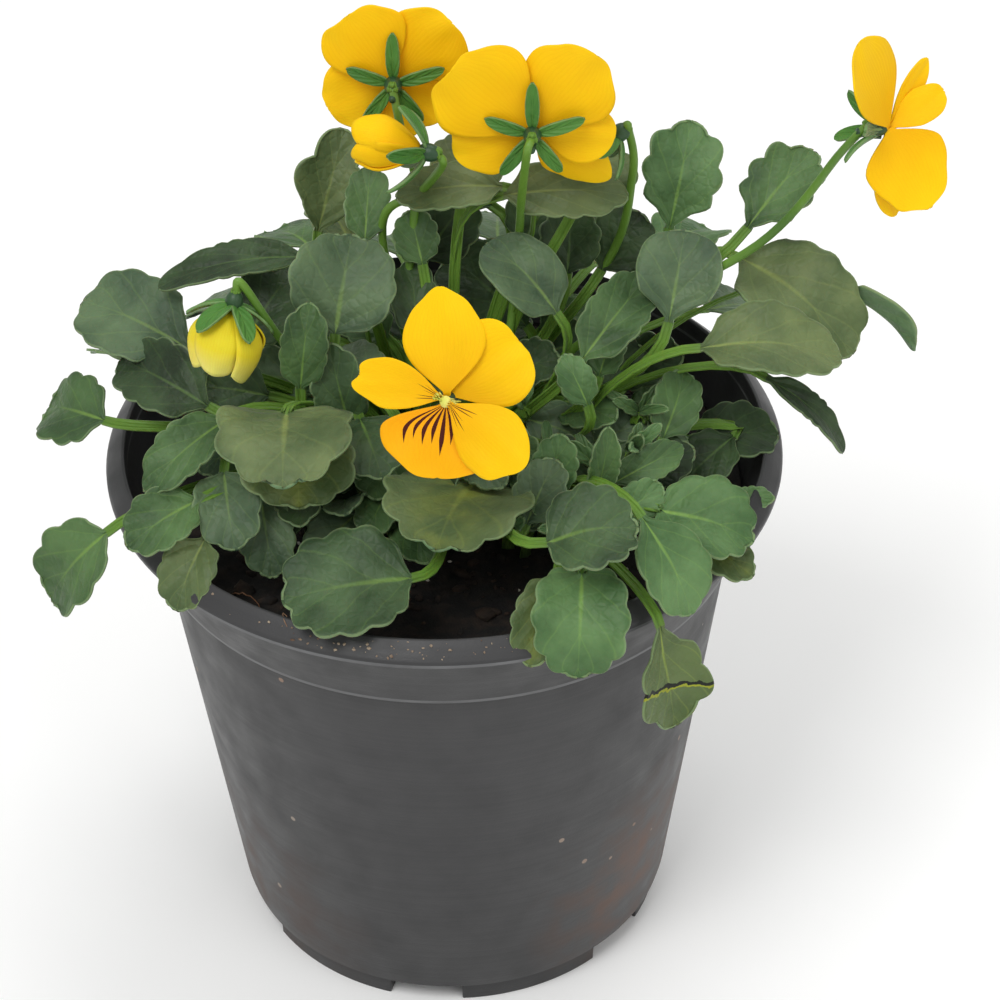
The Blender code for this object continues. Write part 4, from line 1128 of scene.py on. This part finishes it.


# ---------------------------------------------------------------- closing blooms and bud
# A pansy bloom nods and furls its petals as it fades, and a bud holds them furled before it
# opens. Each is a little bell of overlapping petals; the bud and the left bloom are paler
# lemon than an open bloom.


def furled(
    name, route, facing, length, radius, skin, open_end, sepal=7.0, spread=0.75,
    sepal_half=1.3, early=1.25,
):
    """A nodding bell of overlapping petals round an axis, on its stalk."""
    flower_stalk(f"{name}_stalk", route, facing, sepal, spread, False, sepal_half)
    facing = Vector(facing).normalized()
    centre = Vector(route[-1])
    right = facing.orthogonal().normalized()
    up = facing.cross(right)
    bm = bmesh.new()
    uv_map = bm.loops.layers.uv.new("petal")
    for index in range(5):
        before = set(bm.verts)
        faces_before = set(bm.faces)
        bmesh.ops.create_grid(bm, x_segments=16, y_segments=12, size=0.5)
        turn = math.tau * index / 5 + 0.6
        for face_ in set(bm.faces) - faces_before:
            for corner in face_.loops:
                corner[uv_map].uv = (corner.vert.co.x + 0.5, corner.vert.co.y + 0.5)
        for vert in set(bm.verts) - before:
            u = vert.co.x + 0.5
            v = vert.co.y * 2
            reach = length * (u - 0.13 * v * v * u) * (1 + 0.08 * math.sin(index * 2.4))
            swell = math.sin(math.pi / 2 * min(1, u * early)) ** 0.8
            close = 1 - (1 - open_end) * max(0, (u - 0.6) / 0.4) ** 1.5
            out = radius * swell * close * (0.93 + 0.07 * (index % 2) + 0.05 * v)
            angle = turn + v * 0.95 * (1 - 0.25 * u)
            wave = 0.04 * radius * noise.noise(Vector((index * 3.3, u * 3, v * 2)))
            spoke = right * math.cos(angle) + up * math.sin(angle)
            vert.co = centre - facing * 0.6 + facing * reach + spoke * (out + wave + 0.3)
    bmesh.ops.recalc_face_normals(bm, faces=bm.faces)
    slot = "petal_lemon" if skin == PETAL_LEMON else "petal_yellow"
    piece = finish_piece(f"{name}_furled_petals", bm, skin, slot, f"{name}_petals")
    thicken(piece, PETAL_THICKNESS, offset=0, material_offset=0)


furled(
    "closing_bloom_left",
    [(-3.5, -2.5, 98.3), (-14, -7, 111), (-26, -9, 128), (-33, -10, 142), (-35, -11, 137)],
    (-0.25, -0.3, -0.92), 11.0, 6.2, PETAL_LEMON, open_end=0.72,
    spread=0.6, sepal_half=1.7, early=1.9,
)
furled(
    "closing_bloom_back",
    [(-1.5, 4.5, 98.3), (-10, 10, 138), (-3, 5, 150), (1, -4, 161), (-3, -4, 164)],
    (-0.95, 0.2, 0.1), 11, 4.5, PETAL_PLAIN, open_end=0.8,
)
furled(
    "bud_right",
    [(2.5, 3.5, 98.3), (28, 10, 130), (33, 6, 152), (32, 2, 164), (29, 2, 162)],
    (-0.8, -0.1, -0.5), 7, 2.6, PETAL_LEMON, open_end=0.3, sepal=5.5,
)


# ---------------------------------------------------------------- floor, light and camera
# A plain pale floor under broad soft studio light, seen from above the front of the pot.

FLOOR_SIZE = 6.0
bm = bmesh.new()
bmesh.ops.create_grid(bm, x_segments=1, y_segments=1, size=FLOOR_SIZE / 2)
floor_mesh = bpy.data.meshes.new("floor")
bm.to_mesh(floor_mesh)
bm.free()
floor_finish, floor_shader = new_material("pale_floor", 0.9)
floor_shader.inputs["Base Color"].default_value = linear("#FBFBFA")
floor_mesh.materials.append(floor_finish)
floor = bpy.data.objects.new("floor", floor_mesh)
bpy.context.collection.objects.link(floor)

sky = bpy.data.worlds.new("studio")
sky.use_nodes = True
sky.node_tree.nodes["Background"].inputs[0].default_value = (1, 1, 1, 1)
sky.node_tree.nodes["Background"].inputs[1].default_value = 0.58
bpy.context.scene.world = sky

AIM = AXIS + Vector((0, 0, 0.11))
for name, place, size, power in [
    ("key_light", (-0.5, -0.8, 1.4), 0.7, 13),
    ("fill_light", (0.9, -0.9, 0.8), 0.9, 3.4),
    ("top_light", (0.3, 0.5, 1.4), 0.8, 6.2),
]:
    lamp = bpy.data.lights.new(name, "AREA")
    lamp.size = size
    lamp.energy = power
    holder = bpy.data.objects.new(name, lamp)
    holder.location = AIM + Vector(place)
    holder.rotation_euler = (-Vector(place)).to_track_quat("-Z", "Y").to_euler()
    bpy.context.collection.objects.link(holder)

CAMERA_HEIGHT_ANGLE = 37.772
CAMERA_ROLL = -0.855
CAMERA_PLACE = Vector((9.72, -474.27, 455.11))
camera_data = bpy.data.cameras.new("camera")
camera_data.lens = 119.9
camera_data.sensor_width = 36
camera = bpy.data.objects.new("camera", camera_data)
camera.matrix_world = (
    Matrix.Translation(AXIS + CAMERA_PLACE * MM)
    @ Matrix.Rotation(math.radians(90 - CAMERA_HEIGHT_ANGLE), 4, "X")
    @ Matrix.Rotation(math.radians(CAMERA_ROLL), 4, "Z")
)
bpy.context.collection.objects.link(camera)
bpy.context.scene.camera = camera
bpy.context.scene.view_settings.view_transform = "Standard"
